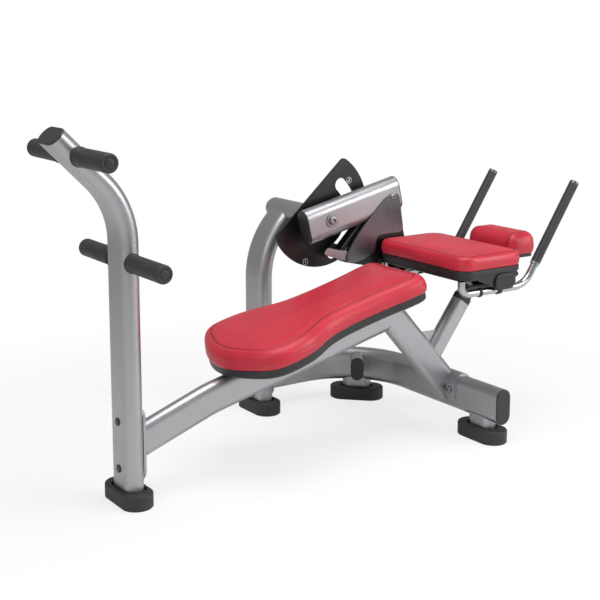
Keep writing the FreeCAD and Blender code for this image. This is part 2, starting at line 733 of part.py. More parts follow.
def seat_cushion():
    pad = Part.Face(seat_outline(0)).extrude(Vector(0, 0, SEAT_CUSHION))
    top = [e for e in pad.Edges if is_on(e, Vector(0, 0, SEAT_CUSHION), Z_AXIS)]
    return place_on_seat(pad.makeFillet(SEAT_ROLL, top), SEAT_SHELL)


SEAT_PLATE_FROM = 150.0
SEAT_PLATE_TO = SEAT_LENGTH - 20
SEAT_BOLTS_ALONG = (SEAT_PLATE_FROM + 30, SEAT_PLATE_TO - 30)
SEAT_BOLT_Y = SEAT_PLATE_WIDTH / 2 - 16


def seat_bolt_places():
    return [on_seat(a, -SEAT_PLATE) + Y_AXIS * (s * SEAT_BOLT_Y) for a in SEAT_BOLTS_ALONG for s in (-1, 1)]


def seat_plate():
    """Steel plate on the rail and the diagonal, screwed to the seat's shell."""
    length = SEAT_PLATE_TO - SEAT_PLATE_FROM
    plate = Part.makeBox(length, SEAT_PLATE_WIDTH, SEAT_PLATE, Vector(SEAT_PLATE_FROM, -SEAT_PLATE_WIDTH / 2, 0))
    plate = plate.makeFillet(22, [e for e in plate.Edges if abs(e.Length - SEAT_PLATE) < 0.01])
    plate = place_on_seat(plate, -SEAT_PLATE)
    for place in seat_bolt_places():
        plate = plate.cut(bolt_hole(place, -SEAT_UP, SEAT_PLATE + 2))
    return plate


def seat_bolts():
    return Part.makeCompound([hex_bolt(p, -SEAT_UP, SEAT_PLATE) for p in seat_bolt_places()])


# ---- Moving arm ----

ARM_ALONG = heading(ARM_PITCH)
ARM_UP = heading(ARM_PITCH + 90)
ARM_PIVOT = Vector(PIVOT_X, ARM_Y, PIVOT_Z)
ARM_START = ARM_PIVOT - ARM_ALONG * ARM_FRONT
ARM_LENGTH = ARM_FRONT + ARM_REAR
STOP = PIVOT + heading(STOP_ANGLE) * SLOT_R
BOARD_TOP_Z = PAD_TOP_Z - PAD_CUSHION
BOARD_LOW_Z = BOARD_TOP_Z - PAD_BOARD
CROSS_Z = BOARD_LOW_Z - CROSS_SHORT / 2
STRUT_HIGH = ARM_PIVOT + ARM_ALONG * (ARM_REAR - 40)
STRUT_CIRCLES = [
    (STOP.x, STOP.z, 34.0),
    (CROSS_X, CROSS_Z, 34.0),
    (STRUT_HIGH.x, STRUT_HIGH.z, 34.0),
]


def arm_solid(long, short):
    return bar(ARM_START, ARM_ALONG, ARM_UP, long, short, ARM_LENGTH)


def arm_tube():
    arm = arm_solid(BIG_LONG, BIG_SHORT).cut(arm_solid(BIG_LONG - 2 * WALL, BIG_SHORT - 2 * WALL))
    hub = rod(Vector(PIVOT_X, ARM_NEAR_Y, PIVOT_Z), Y_AXIS, SHAFT_R + 7, BIG_SHORT)
    arm = arm.fuse(hub)
    arm = arm.cut(rod(Vector(PIVOT_X, ARM_NEAR_Y - 1, PIVOT_Z), Y_AXIS, SHAFT_R, BIG_SHORT + 2))
    bolt = ARM_PIVOT + ARM_ALONG * ARM_BOLT
    return arm.cut(rod(Vector(bolt.x, ARM_NEAR_Y - 1, bolt.z), Y_AXIS, BOLT_R, BIG_SHORT + 2))


def arm_bolts():
    """Big screw on the pivot shaft's end, and the bolt that holds the strut."""
    seat = Vector(PIVOT_X, ARM_NEAR_Y, PIVOT_Z)
    washer = rod(seat, -Y_AXIS, SHAFT_R + 6, 4)
    head = rod(seat - Y_AXIS * 4, -Y_AXIS, SHAFT_R - 3, 9)
    head = head.makeFillet(4, [e for e in head.Edges if is_on(e, seat - Y_AXIS * 13, Y_AXIS)])
    head = head.cut(rod(seat - Y_AXIS * 8, -Y_AXIS, 6, 8))
    rear = ARM_PIVOT + ARM_ALONG * ARM_BOLT
    small = hex_bolt(Vector(rear.x, ARM_NEAR_Y, rear.z), -Y_AXIS, BIG_SHORT)
    return Part.makeCompound([washer.fuse(head), small])


def arm_caps():
    front = end_cap(ARM_START, -ARM_ALONG, ARM_UP, BIG_LONG, BIG_SHORT, WALL)
    rear = end_cap(ARM_START + ARM_ALONG * ARM_LENGTH, ARM_ALONG, ARM_UP, BIG_LONG, BIG_SHORT, WALL)
    return Part.makeCompound([front, rear])


def strut():
    """Box-section web from the arm down to the stop bar and the cross tube."""
    outer = plate_from(hull_outline(STRUT_CIRCLES, ARM_Y - STRUT_THICK / 2), STRUT_THICK)
    outer = outer.makeFillet(5, outer.Edges)
    thin = [(x, z, r - STRUT_WALL) for x, z, r in STRUT_CIRCLES]
    inner = plate_from(hull_outline(thin, ARM_Y - STRUT_THICK / 2 + STRUT_WALL), STRUT_THICK - 2 * STRUT_WALL)
    body = outer.cut(inner).cut(arm_solid(BIG_LONG, BIG_SHORT))
    body = max(body.Solids, key=lambda s: s.Volume)
    stop = rod(Vector(STOP.x, ARM_Y - STRUT_THICK, STOP.z), Y_AXIS, STOP_R, 3 * STRUT_THICK)
    return body.cut(stop).cut(cross_solid(CROSS_LONG, CROSS_SHORT))


STRUT_NEAR_Y = ARM_Y - STRUT_THICK / 2
STRUT_FAR_Y = ARM_Y + STRUT_THICK / 2


def stop_bar():
    start = Vector(STOP.x, STRUT_NEAR_Y - 5, STOP.z)
    pin = rod(start, Y_AXIS, STOP_R, STOP_END_Y - start.y)
    head = rod(start, Y_AXIS, STOP_R + 6, 5)
    return pin.fuse(head)


def stop_sleeve():
    """Rubber sleeve on the stop bar, where it runs through the sector's slot."""
    start = Vector(STOP.x, STRUT_FAR_Y + 6, STOP.z)
    length = STOP_END_Y - 60 - start.y
    return rod(start, Y_AXIS, STOP_SLEEVE_R, length).cut(rod(start, Y_AXIS, STOP_R, length))


def cross_solid(long, short):
    start = Vector(CROSS_X, CLAMP_WIDTH - BAR_Y, CROSS_Z)
    return bar(start, Y_AXIS, X_AXIS, long, short, STRUT_FAR_Y + 4 - start.y)


def cross_tube():
    return cross_solid(CROSS_LONG, CROSS_SHORT).cut(cross_solid(CROSS_LONG - 2 * WALL, CROSS_SHORT - 2 * WALL))


SPINE_Z = CROSS_Z
SPINE_SHORT = CROSS_SHORT
SPINE_END_X = HEAD_X + 20


def spine_tube():
    """Tube on the mid-plane, from the cross tube to the head rest."""
    start = Vector(CROSS_X, 0, SPINE_Z)
    length = SPINE_END_X - CROSS_X
    outer = bar(start, X_AXIS, Y_AXIS, SPINE_LONG, SPINE_SHORT, length)
    inner = bar(start, X_AXIS, Y_AXIS, SPINE_LONG - 2 * WALL, SPINE_SHORT - 2 * WALL, length)
    return outer.cut(inner).cut(cross_solid(CROSS_LONG, CROSS_SHORT))


def spine_cap():
    return end_cap(Vector(SPINE_END_X, 0, SPINE_Z), X_AXIS, Y_AXIS, SPINE_LONG, SPINE_SHORT, WALL)


def landing_block():
    """Bracket under the spine that comes down square onto the bumper."""
    side = REST_UP.cross(Y_AXIS)
    block = bar(LANDING, REST_UP, side, REST_LONG - 8, REST_SHORT - 6, SPINE_Z - LANDING.z + REST_LONG)
    ceiling = Part.makeBox(CUTTER, CUTTER, CUTTER, Vector(CROSS_X - CUTTER / 2, -CUTTER / 2, SPINE_Z - SPINE_SHORT / 2))
    return block.cut(ceiling)


def head_bracket():
    """Plate and post between the spine and the head rest's board."""
    spine_top = SPINE_Z + SPINE_SHORT / 2
    plate_z = HEAD_BOTTOM_Z - PLATE / 2
    post = Part.makeBox(HEAD_POST, HEAD_POST_WIDTH, plate_z - spine_top,
                        Vector(HEAD_X - HEAD_POST / 2, -HEAD_POST_WIDTH / 2, spine_top))
    plate = Part.makeBox(HEAD_PLATE, HEAD_PLATE_WIDTH, PLATE / 2,
                         Vector(HEAD_X - HEAD_PLATE / 2, -HEAD_PLATE_WIDTH / 2, plate_z))
    return post.fuse(plate)


# ---- Pads of the back rest ----

def pad_blank(x0, x1, half, corner, height):
    """Rounded rectangle block on z = 0."""
    block = Part.makeBox(x1 - x0, 2 * half, height, Vector(x0, -half, 0))
    return block.makeFillet(corner, [e for e in block.Edges if abs(e.Length - height) < 1e-6])


def back_cushion():
    pad = pad_blank(PAD_FRONT_X, PAD_REAR_X, PAD_HALF, PAD_CORNER, PAD_CUSHION)
    top = [e for e in pad.Edges if is_on(e, Vector(0, 0, PAD_CUSHION), Z_AXIS)]
    pad = pad.makeFillet(PAD_ROLL, top)
    pad.translate(Vector(0, 0, PAD_TOP_Z - PAD_CUSHION))
    return pad


def back_shell():
    """Moulded tray under the cushion, with a cheek down each side round the boss."""
    inset = SHELL_INSET
    shell = pad_blank(PAD_FRONT_X + inset, PAD_REAR_X - inset, PAD_HALF - inset, PAD_CORNER - inset, PAD_BOARD)
    shell = shell.makeFillet(5, [e for e in shell.Edges if is_on(e, Vector(), Z_AXIS)])
    shell.translate(Vector(0, 0, BOARD_LOW_Z))
    cheek_z = BOARD_LOW_Z - CHEEK_DROP
    outline = hull_outline([(BOSS_X - CHEEK_FRONT, BOARD_LOW_Z + SHELL_INSET, CHEEK_END_R),
                            (BOSS_X, cheek_z + BOSS_R, BOSS_R),
                            (BOSS_X + CHEEK_REAR, BOARD_LOW_Z + SHELL_INSET, CHEEK_END_R)], 0)
    for side in (-1, 1):
        cheek = plate_from(outline, CHEEK_THICK)
        y = PAD_HALF - inset - CHEEK_THICK if side > 0 else inset - PAD_HALF
        cheek.translate(Vector(0, y, 0))
        shell = shell.fuse(cheek)
    return shell.cut(cross_solid(CROSS_LONG, CROSS_SHORT))


def side_bosses():
    """Oval covers on the cheeks, over the bolts that hold the handle clamps."""
    covers = []
    for side in (-1, 1):
        out = Y_AXIS * side
        seat = Vector(BOSS_X, side * (PAD_HALF - SHELL_INSET), BOARD_LOW_Z - CHEEK_DROP + BOSS_R)
        cover = bar(seat, out, X_AXIS, 2 * BOSS_R + 12, 2 * BOSS_R - 6, BOSS_THICK)
        covers.append(cover.makeFillet(4, [e for e in cover.Edges if is_on(e, seat + out * BOSS_THICK, out)]))
    return Part.makeCompound(covers).cut(cross_solid(CROSS_LONG, CROSS_SHORT))


def head_cushion():
    half = HEAD_LENGTH / 2
    pad = pad_blank(HEAD_X - half, HEAD_X + half, HEAD_HALF, 30, HEAD_THICK)
    pad.translate(Vector(0, 0, HEAD_BOTTOM_Z + HEAD_BOARD))
    top_z = HEAD_BOTTOM_Z + HEAD_BOARD + HEAD_THICK
    return pad.makeFillet(SEAT_ROLL, [e for e in pad.Edges if is_on(e, Vector(0, 0, top_z), Z_AXIS)])


def head_board():
    half = HEAD_LENGTH / 2 - 4
    board = pad_blank(HEAD_X - half, HEAD_X + half, HEAD_HALF - 4, 26, HEAD_BOARD)
    board = board.makeFillet(4, [e for e in board.Edges if is_on(e, Vector(), Z_AXIS)])
    board.translate(Vector(0, 0, HEAD_BOTTOM_Z))
    return board


# ---- Handle bars ----

GRIP_UP = heading(GRIP_ANGLE)


def bar_points(y):
    corner = Vector(BAR_CORNER_X, y, BAR_Z)
    return [
        Vector(BAR_FRONT_X, y, BOARD_LOW_Z),
        Vector(BAR_FRONT_X, y, BAR_Z),
        corner,
        corner + GRIP_UP * (GRIP_END - 6),
    ]


def on_grips(start, length, radius, bore):
    """One sleeve on each bar, measured along the grip from the bar's corner."""
    pieces = []
    for side in (-1, 1):
        corner = Vector(BAR_CORNER_X, side * BAR_Y, BAR_Z)
        sleeve = rod(corner + GRIP_UP * start, GRIP_UP, radius, length)
        pieces.append(sleeve.cut(rod(corner + GRIP_UP * (start - 1), GRIP_UP, bore, length + 2)))
    return Part.makeCompound(pieces)


def handle_bar(side):
    return round_tube(bar_points(side * BAR_Y), [BAR_FRONT_BEND, BAR_BEND], BAR_R, 2.5)


def handle_grips():
    return on_grips(GRIP_START, GRIP_END - GRIP_START - 10, GRIP_R, BAR_R)


def handle_collars():
    return on_grips(GRIP_START - COLLAR, COLLAR, GRIP_R - 0.5, BAR_R)


def grip_ends():
    """Metal plugs in the tops of the grips."""
    plugs = []
    for side in (-1, 1):
        corner = Vector(BAR_CORNER_X, side * BAR_Y, BAR_Z)
        seat = corner + GRIP_UP * (GRIP_END - 10)
        disc = rod(seat, GRIP_UP, GRIP_R, 10).cut(rod(seat - GRIP_UP, GRIP_UP, BAR_R, 5))
        disc = disc.makeFillet(3, [e for e in disc.Edges if is_on(e, seat + GRIP_UP * 10, GRIP_UP)])
        plugs.append(disc)
    return Part.makeCompound(plugs)


def bar_clamps():
    """Blocks between each bar and the shell: one at the ring, one at the boss."""
    blocks = []
    for side in (-1, 1):
        for x, half in ((RING_X, 9.0), (BOSS_X, 15.0)):
            low = BAR_Z - BAR_R - 5
            near = side * BAR_Y - CLAMP_WIDTH / 2
            block = Part.makeBox(2 * half, CLAMP_WIDTH, BOARD_LOW_Z - low, Vector(x - half, near, low))
            block = block.makeFillet(4, [e for e in block.Edges if e.BoundBox.ZMax < low + 0.1])
            blocks.append(block.cut(rod(Vector(x - half - 1, side * BAR_Y, BAR_Z), X_AXIS, BAR_R, 2 * half + 2)))
    return Part.makeCompound(blocks)


def build():
    os.makedirs("parts", exist_ok=True)
    save("front_post", front_post())
    save("front_post_cap", end_cap(POST_TOP, POST_UP, Y_AXIS, BIG_LONG, BIG_SHORT, WALL))
    save("front_foot", foot(Vector(), Y_AXIS, BIG_LONG, BIG_SHORT))
    save("lower_peg_bar", peg_bar(PEG_LOW))
    save("lower_peg_grips", peg_grips(PEG_LOW))
    save("upper_peg_bar", peg_bar(PEG_HIGH))
    save("upper_peg_grips", peg_grips(PEG_HIGH))
    save("main_rail", main_rail())
    save("rail_flange", rail_flange())
    save("rail_bolts", rail_bolts())
    save("rail_bolt_plugs", bolt_plugs())
    save("base_beam", base_beam())
    save("base_beam_cap", end_cap(BEAM_POINTS[0], -Y_AXIS, Z_AXIS, BIG_LONG, BIG_SHORT, WALL))
    save("near_leg", leg(NEAR_LEG, Y_AXIS))
    save("near_foot", foot(NEAR_LEG, Y_AXIS, LEG_LONG, LEG_SHORT))
    save("corner_leg", leg(CORNER_LEG, CORNER_ALONG))
    save("corner_foot", foot(CORNER_LEG, CORNER_ALONG, LEG_LONG, LEG_SHORT))
    save("stub_tube", stub_tube())
    save("stub_cap", end_cap(STUB_BASE + STUB_OUT * STUB_REACH, STUB_OUT, Z_AXIS, STUB_LONG, STUB_SHORT, WALL))
    save("mast", mast())
    save("mast_foot", foot(Vector(MAST_X, MAST_Y, 0), Y_AXIS, BIG_LONG, BIG_SHORT))
    save("beam_flange", beam_flange())
    save("beam_bolts", beam_bolts())
    save("pivot_housing", pivot_housing())
    save("pivot_bushes", pivot_bushes())
    save("pivot_shaft", pivot_shaft())
    save("sector_plate", sector_plate())
    save("diagonal_tube", diagonal())
    save("beam_saddle", beam_saddle())
    save("saddle_bolts", saddle_bolts())
    save("rest_post", rest_post())
    save("rest_bumper", rest_bumper())
    save("rest_gusset", rest_gusset())
    save("seat_cushion", seat_cushion())
    save("seat_shell", seat_shell())
    save("seat_plate", seat_plate())
    save("seat_bolts", seat_bolts())
    save("arm_tube", arm_tube())
    save("arm_caps", arm_caps())
    save("arm_bolts", arm_bolts())
    save("strut", strut())
    save("stop_bar", stop_bar())
    save("stop_sleeve", stop_sleeve())
    save("cross_tube", cross_tube())
    save("spine_tube", spine_tube())
    save("spine_cap", spine_cap())
    save("landing_block", landing_block())
    save("head_bracket", head_bracket())
    save("back_cushion", back_cushion())
    save("back_shell", back_shell())
    save("side_bosses", side_bosses())
    save("head_cushion", head_cushion())
    save("head_board", head_board())
    save("near_handle_bar", handle_bar(-1))
    save("far_handle_bar", handle_bar(1))
    save("handle_grips", handle_grips())
    save("handle_collars", handle_collars())
    save("grip_ends", grip_ends())
    save("bar_clamps", bar_clamps())


build()
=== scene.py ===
# %% [markdown]
# # A decline sit up bench, dressed around its construction model
#
# The frame, the pivot and every bracket already exist as solids in the packed
# construction model. This notebook gives each of them a finish, and replaces the
# three plain pad solids with upholstered cushions. A last part adds the small
# things that a maker adds last: stitches and printed numbers.

# %% Load the frame
import json
import math

import bmesh
import bpy
import numpy as np
from mathutils import Euler, Matrix, Vector
from mathutils.bvhtree import BVHTree


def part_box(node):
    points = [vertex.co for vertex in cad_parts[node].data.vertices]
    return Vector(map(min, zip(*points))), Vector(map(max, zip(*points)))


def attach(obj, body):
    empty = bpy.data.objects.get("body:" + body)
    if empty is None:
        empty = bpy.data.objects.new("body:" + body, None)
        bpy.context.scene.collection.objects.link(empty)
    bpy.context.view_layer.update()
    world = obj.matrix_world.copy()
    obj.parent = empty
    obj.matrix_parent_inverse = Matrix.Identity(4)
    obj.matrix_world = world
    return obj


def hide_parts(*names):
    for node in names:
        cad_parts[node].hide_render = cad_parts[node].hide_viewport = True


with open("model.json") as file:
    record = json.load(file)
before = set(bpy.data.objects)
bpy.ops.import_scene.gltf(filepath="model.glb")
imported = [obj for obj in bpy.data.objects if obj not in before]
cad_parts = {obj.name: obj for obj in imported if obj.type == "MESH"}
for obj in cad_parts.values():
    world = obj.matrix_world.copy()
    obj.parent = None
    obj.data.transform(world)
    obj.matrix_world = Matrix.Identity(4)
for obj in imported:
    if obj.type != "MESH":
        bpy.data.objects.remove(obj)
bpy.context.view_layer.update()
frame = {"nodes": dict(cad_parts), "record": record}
MM = 0.001

# %% [markdown]
# ## Colours and nodes
#
# Paint charts give colours as sRGB hex values, but a shader adds
# and multiplies light, so it needs linear values. One function turns one into the
# other. A second small function adds a shader node: its own settings are keyword
# arguments, and its inputs are a dictionary of values or of other nodes' outputs.


# %% The two material helpers
def linear(hex_colour):
    """sRGB hex to linear RGBA: (c / 12.92) when dark, else ((c + 0.055) / 1.055) to the power 2.4."""
    rgb = [int(hex_colour[i:i + 2], 16) / 255 for i in (1, 3, 5)]
    return tuple(c / 12.92 if c <= 0.04045 else ((c + 0.055) / 1.055) ** 2.4 for c in rgb) + (1.0,)


def add(tree, kind, inputs=None, **settings):
    """Adds one node, with its settings, and its inputs as values or as links."""
    node = tree.nodes.new(kind)
    for name, value in settings.items():
        setattr(node, name, value)
    for key, value in (inputs or {}).items():
        if isinstance(value, bpy.types.NodeSocket):
            tree.links.new(value, node.inputs[key])
        else:
            node.inputs[key].default_value = value
    return node


print("mid grey #808080 is", round(linear("#808080")[0], 3), "in linear light")


# %% A material's start, and its patterns
def start_material(name, roughness, metallic=0.0):
    """A new material with its surface shader and the object coordinates that patterns read."""
    made = bpy.data.materials.new(name)
    made.use_nodes = True
    shader = made.node_tree.nodes["Principled BSDF"]
    shader.inputs["Roughness"].default_value = roughness
    shader.inputs["Metallic"].default_value = metallic
    place = add(made.node_tree, "ShaderNodeTexCoord").outputs["Object"]
    return made, made.node_tree, shader, place


def grain(tree, place, size, detail=3.0):
    """Noise whose lumps are about size metres across, from 0 to 1."""
    return add(tree, "ShaderNodeTexNoise", {"Vector": place, "Scale": 1 / size, "Detail": detail})


def two_tone(tree, factor, dark, light, low=0.3, high=0.7):
    """A ramp from one hex colour to another as factor goes from low to high."""
    ramp = add(tree, "ShaderNodeValToRGB", {"Fac": factor})
    ramp.color_ramp.elements[0].position = low
    ramp.color_ramp.elements[0].color = linear(dark)
    ramp.color_ramp.elements[1].position = high
    ramp.color_ramp.elements[1].color = linear(light)
    return ramp.outputs["Color"]


def spread(tree, factor, low, high):
    """Maps a 0 to 1 pattern onto a range of numbers, such as a roughness."""
    mapped = add(tree, "ShaderNodeMapRange",
                 {"Value": factor, "From Min": 0.3, "From Max": 0.7, "To Min": low, "To Max": high})
    return mapped.outputs["Result"]


def relief(tree, height, depth, strength=1.0):
    """A bump whose full height is depth metres."""
    bump = add(tree, "ShaderNodeBump", {"Height": height, "Distance": depth, "Strength": strength})
    return bump.outputs["Normal"]


print("a pattern of 1.5 mm has the scale", round(1 / (1.5 * MM)))


# %% [markdown]
# ## The frame's paint
#
# The tubes are mild steel with a metallic powder coat. The powder holds fine
# aluminium flake, so the coat is bright where it faces a light and grey where it
# turns away, and it has the slight orange peel that baked powder always has. The
# flake is too fine to show at this distance, so it is drawn at about 1.5 mm.


# %% Silver powder coat
def silver_powder_coat():
    """Aluminium flake in clear powder, with orange peel of 4 mm lumps."""
    made, tree, shader, place = start_material("silver_powder_coat", 0.34, 0.9)
    flake = grain(tree, place, 1.5 * MM, 2.0)
    cloud = grain(tree, place, 90 * MM)
    tree.links.new(two_tone(tree, flake.outputs["Fac"], "#A0A0A3", "#B2B2B5"), shader.inputs["Base Color"])
    tree.links.new(spread(tree, cloud.outputs["Fac"], 0.33, 0.41), shader.inputs["Roughness"])
    peel = grain(tree, place, 4 * MM, 1.0)
    tree.links.new(relief(tree, peel.outputs["Fac"], 0.06 * MM), shader.inputs["Normal"])
    return made


finish = {"frame_paint": silver_powder_coat()}
print("made", finish["frame_paint"].name)


# %% Black powder coat
def black_powder_coat():
    """Satin black powder on the sector plate and the strut: a tight, even peel."""
    made, tree, shader, place = start_material("black_powder_coat", 0.34)
    cloud = grain(tree, place, 60 * MM)
    tree.links.new(two_tone(tree, cloud.outputs["Fac"], "#0D0D0F", "#141417"), shader.inputs["Base Color"])
    tree.links.new(spread(tree, cloud.outputs["Fac"], 0.28, 0.4), shader.inputs["Roughness"])
    peel = grain(tree, place, 3 * MM, 1.0)
    tree.links.new(relief(tree, peel.outputs["Fac"], 0.08 * MM), shader.inputs["Normal"])
    return made


finish["black_paint"] = black_powder_coat()
print("made", finish["black_paint"].name)


# %% [markdown]
# ## Rubber, plastic and upholstery
#
# The feet and grips are moulded rubber, which is matt and greys a little where it
# is handled. The caps and pad shells are injection moulded ABS with a spark-eroded
# texture, which breaks a reflection into a soft patch. The pads are covered in
# expanded vinyl: a soft sheen over an embossed leather grain of small cells.


# %% Moulded rubber and moulded ABS
def moulded_rubber():
    """Matt rubber, greyer in patches of about 45 mm where it is handled."""
    made, tree, shader, place = start_material("moulded_rubber", 0.58)
    cloud = grain(tree, place, 45 * MM)
    tree.links.new(two_tone(tree, cloud.outputs["Fac"], "#222225", "#2E2E31"), shader.inputs["Base Color"])
    tree.links.new(spread(tree, cloud.outputs["Fac"], 0.5, 0.66), shader.inputs["Roughness"])
    fine = grain(tree, place, 1.1 * MM, 2.0)
    tree.links.new(relief(tree, fine.outputs["Fac"], 0.09 * MM), shader.inputs["Normal"])
    return made


def textured_abs():
    """Moulded ABS whose mould was spark eroded into cells of about 1.3 mm."""
    made, tree, shader, place = start_material("textured_abs", 0.42)
    cells = add(tree, "ShaderNodeTexVoronoi", {"Vector": place, "Scale": 1 / (1.3 * MM)})
    cloud = grain(tree, place, 70 * MM)
    tree.links.new(two_tone(tree, cloud.outputs["Fac"], "#1B1B1D", "#242426"), shader.inputs["Base Color"])
    tree.links.new(spread(tree, cloud.outputs["Fac"], 0.38, 0.48), shader.inputs["Roughness"])
    tree.links.new(relief(tree, cells.outputs["Distance"], 0.07 * MM), shader.inputs["Normal"])
    return made


finish["rubber"] = moulded_rubber()
finish["black_plastic"] = textured_abs()
print("made", finish["rubber"].name, "and", finish["black_plastic"].name)


# %% Red upholstery vinyl
def upholstery_vinyl():
    """Leather grain of 2.4 mm cells, and painted shade: a darker line in the seam's groove where the
    attribute seam is high.
    """
    made, tree, shader, place = start_material("upholstery_vinyl", 0.44)
    warp = grain(tree, place, 7 * MM, 2.0)
    moved = add(tree, "ShaderNodeVectorMath", {0: place, 1: warp.outputs["Color"]}, operation="ADD")
    small = add(tree, "ShaderNodeMix", {"Factor": 0.002, 4: place, 5: moved.outputs["Vector"]},
                data_type="VECTOR")
    cells = add(tree, "ShaderNodeTexVoronoi", {"Vector": small.outputs[1], "Scale": 1 / (2.4 * MM)},
                feature="DISTANCE_TO_EDGE")
    cloud = grain(tree, place, 120 * MM)
    base = two_tone(tree, cloud.outputs["Fac"], "#B61A2F", "#C32238")
    # painted shade: where the attribute seam is high the vinyl darkens towards #6A0C1A, standing in for shade
    # in the seam's groove
    seam = add(tree, "ShaderNodeAttribute", attribute_name="seam")
    shade = add(tree, "ShaderNodeMix", {"Factor": seam.outputs["Fac"], 6: base, 7: linear("#6A0C1A")},
                data_type="RGBA")
    tree.links.new(shade.outputs[2], shader.inputs["Base Color"])
    tree.links.new(spread(tree, cloud.outputs["Fac"], 0.38, 0.5), shader.inputs["Roughness"])
    shader.inputs["Sheen Weight"].default_value = 0.05
    shader.inputs["Sheen Roughness"].default_value = 0.4
    tree.links.new(relief(tree, cells.outputs["Distance"], 0.12 * MM, 0.55), shader.inputs["Normal"])
    return made


finish["red_vinyl"] = upholstery_vinyl()
print("made", finish["red_vinyl"].name)


# %% [markdown]
# ## Bright metals
#
# The handle bars and the pivot shaft are satin chrome on polished tube. Polishing
# leaves very fine marks, which vary the roughness a little. The bolts are zinc plated,
# which is duller, and the bushes are oil-filled bronze.


# %% Chrome, zinc and bronze
def polished_metal(name, dark, light, smooth, dull, mark):
    """A bare metal whose roughness runs from smooth to dull in marks of the given size."""
    made, tree, shader, place = start_material(name, smooth, 1.0)
    marks = grain(tree, place, mark)
    tree.links.new(two_tone(tree, marks.outputs["Fac"], dark, light), shader.inputs["Base Color"])
    tree.links.new(spread(tree, marks.outputs["Fac"], smooth, dull), shader.inputs["Roughness"])
    tree.links.new(relief(tree, marks.outputs["Fac"], 0.015 * MM), shader.inputs["Normal"])
    return made


finish["chrome"] = polished_metal("satin_chrome", "#A6A7AB", "#B2B3B7", 0.17, 0.24, 14 * MM)
finish["bolt_steel"] = polished_metal("zinc_plate", "#8F9093", "#A5A6A8", 0.3, 0.42, 5 * MM)
finish["bronze"] = polished_metal("sintered_bronze", "#7F6442", "#947650", 0.4, 0.5, 2 * MM)
print("made", ", ".join(finish[name].name for name in ("chrome", "bolt_steel", "bronze")))


# %% Thread and white ink
def stitch_thread():
    """Bonded polyester thread, in a red a little darker than the vinyl."""
    made, tree, shader, place = start_material("bonded_thread", 0.55)
    ply = grain(tree, place, 1.5 * MM)
    tree.links.new(two_tone(tree, ply.outputs["Fac"], "#8E1426", "#A81C30"), shader.inputs["Base Color"])
    return made


def white_print():
    """Pad-printed white ink, slightly worn: the wear shows as a greyer patch."""
    made, tree, shader, place = start_material("white_print", 0.5)
    wear = grain(tree, place, 6 * MM)
    tree.links.new(two_tone(tree, wear.outputs["Fac"], "#C4C4C6", "#E8E8EA"), shader.inputs["Base Color"])
    return made


thread = stitch_thread()
ink = white_print()
print("made", thread.name, "and", ink.name)


# %% Every finish on its nodes
for part in frame["record"]["subparts"]:
    node = frame["nodes"][part["node"]]
    node.data.materials.clear()
    node.data.materials.append(finish[part["material_slot"]])
print("finishes", len(finish), "on", len(frame["nodes"]), "nodes")

# %% [markdown]
# ## A surface from a grid of points
#
# Every new piece below is a function of two parameters worked out on a grid. The
# grid of points becomes a mesh once, here: each cell of the grid is one face, and
# a grid can close on itself in either direction.


# %% From a grid to an object
def surface(name, grid, close_u=False, close_v=False):
    """grid is rows x columns x 3. Cell (i, j) becomes the face i,j  i+1,j  i+1,j+1  i,j+1."""
    rows, columns = grid.shape[:2]
    index = np.arange(rows * columns).reshape(rows, columns)
    if close_u:
        index = np.vstack([index, index[:1]])
    if close_v:
        index = np.hstack([index, index[:, :1]])
    faces = np.stack([index[:-1, :-1], index[1:, :-1], index[1:, 1:], index[:-1, 1:]], axis=-1).reshape(-1, 4)
    mesh = bpy.data.meshes.new(name)
    mesh.from_pydata(grid.reshape(-1, 3).tolist(), [], faces.tolist())
    mesh.shade_smooth()
    made = bpy.data.objects.new(name, mesh)
    bpy.context.scene.collection.objects.link(made)
    return made


def points_of(mesh):
    """All the vertices of a mesh as one array."""
    flat = np.empty(len(mesh.vertices) * 3, np.float32)
    mesh.vertices.foreach_get("co", flat)
    return flat.reshape(-1, 3).astype(float)


def set_points(mesh, points):
    """Moves all the vertices of a mesh at once."""
    mesh.vertices.foreach_set("co", points.astype(np.float32).ravel())
    mesh.update()


def clean(piece):
    """Merges doubles and turns every face outwards."""
    shape = bmesh.new()
    shape.from_mesh(piece.data)
    bmesh.ops.remove_doubles(shape, verts=shape.verts, dist=1e-6)
    bmesh.ops.recalc_face_normals(shape, faces=shape.faces)
    shape.to_mesh(piece.data)
    shape.free()
    piece.data.shade_smooth()


# %% [markdown]
# ## The shape of a pad
#
# An upholstered pad has an outline in plan and a section at its edge. The outline
# is read from the rim of the pad's own solid, so a cushion always fits its shell.
# The section starts under the pad, goes round the lower edge, up the side panel,
# round the top edge and across the crowned top. Each point of the outline is drawn
# in towards the pad's middle line by the section's inset, so the section runs
# round the pad as a welt does. A line, not a point, keeps the waist even.


# %% Read an outline
def flat_points(node, origin=(0, 0, 0), angle=0.0):
    """A solid's vertices in a frame at origin whose x axis is tilted up by angle degrees."""
    points = points_of(frame["nodes"][node].data) - np.array(origin)
    c, s = math.cos(math.radians(angle)), math.sin(math.radians(angle))
    return np.column_stack([points[:, 0] * c + points[:, 2] * s, points[:, 1],
                            points[:, 2] * c - points[:, 0] * s])


def rim_outline(points, count):
    """The lowest rim of a pad's solid, in order of angle round its middle, at even steps."""
    rim = points[points[:, 2] < points[:, 2].min() + 0.2 * MM][:, :2]
    middle = (rim.min(0) + rim.max(0)) / 2
    order = np.argsort(np.arctan2(rim[:, 1] - middle[1], rim[:, 0] - middle[0]))
    return even_spacing(rim[order], count)


def even_spacing(outline, count):
    """The same closed curve with count points at equal steps along its length."""
    closed = np.vstack([outline, outline[:1]])
    run = np.concatenate([[0], np.cumsum(np.linalg.norm(np.diff(closed, axis=0), axis=1))])
    want = np.linspace(0, run[-1], count, endpoint=False)
    return np.column_stack([np.interp(want, run, closed[:, k]) for k in (0, 1)])


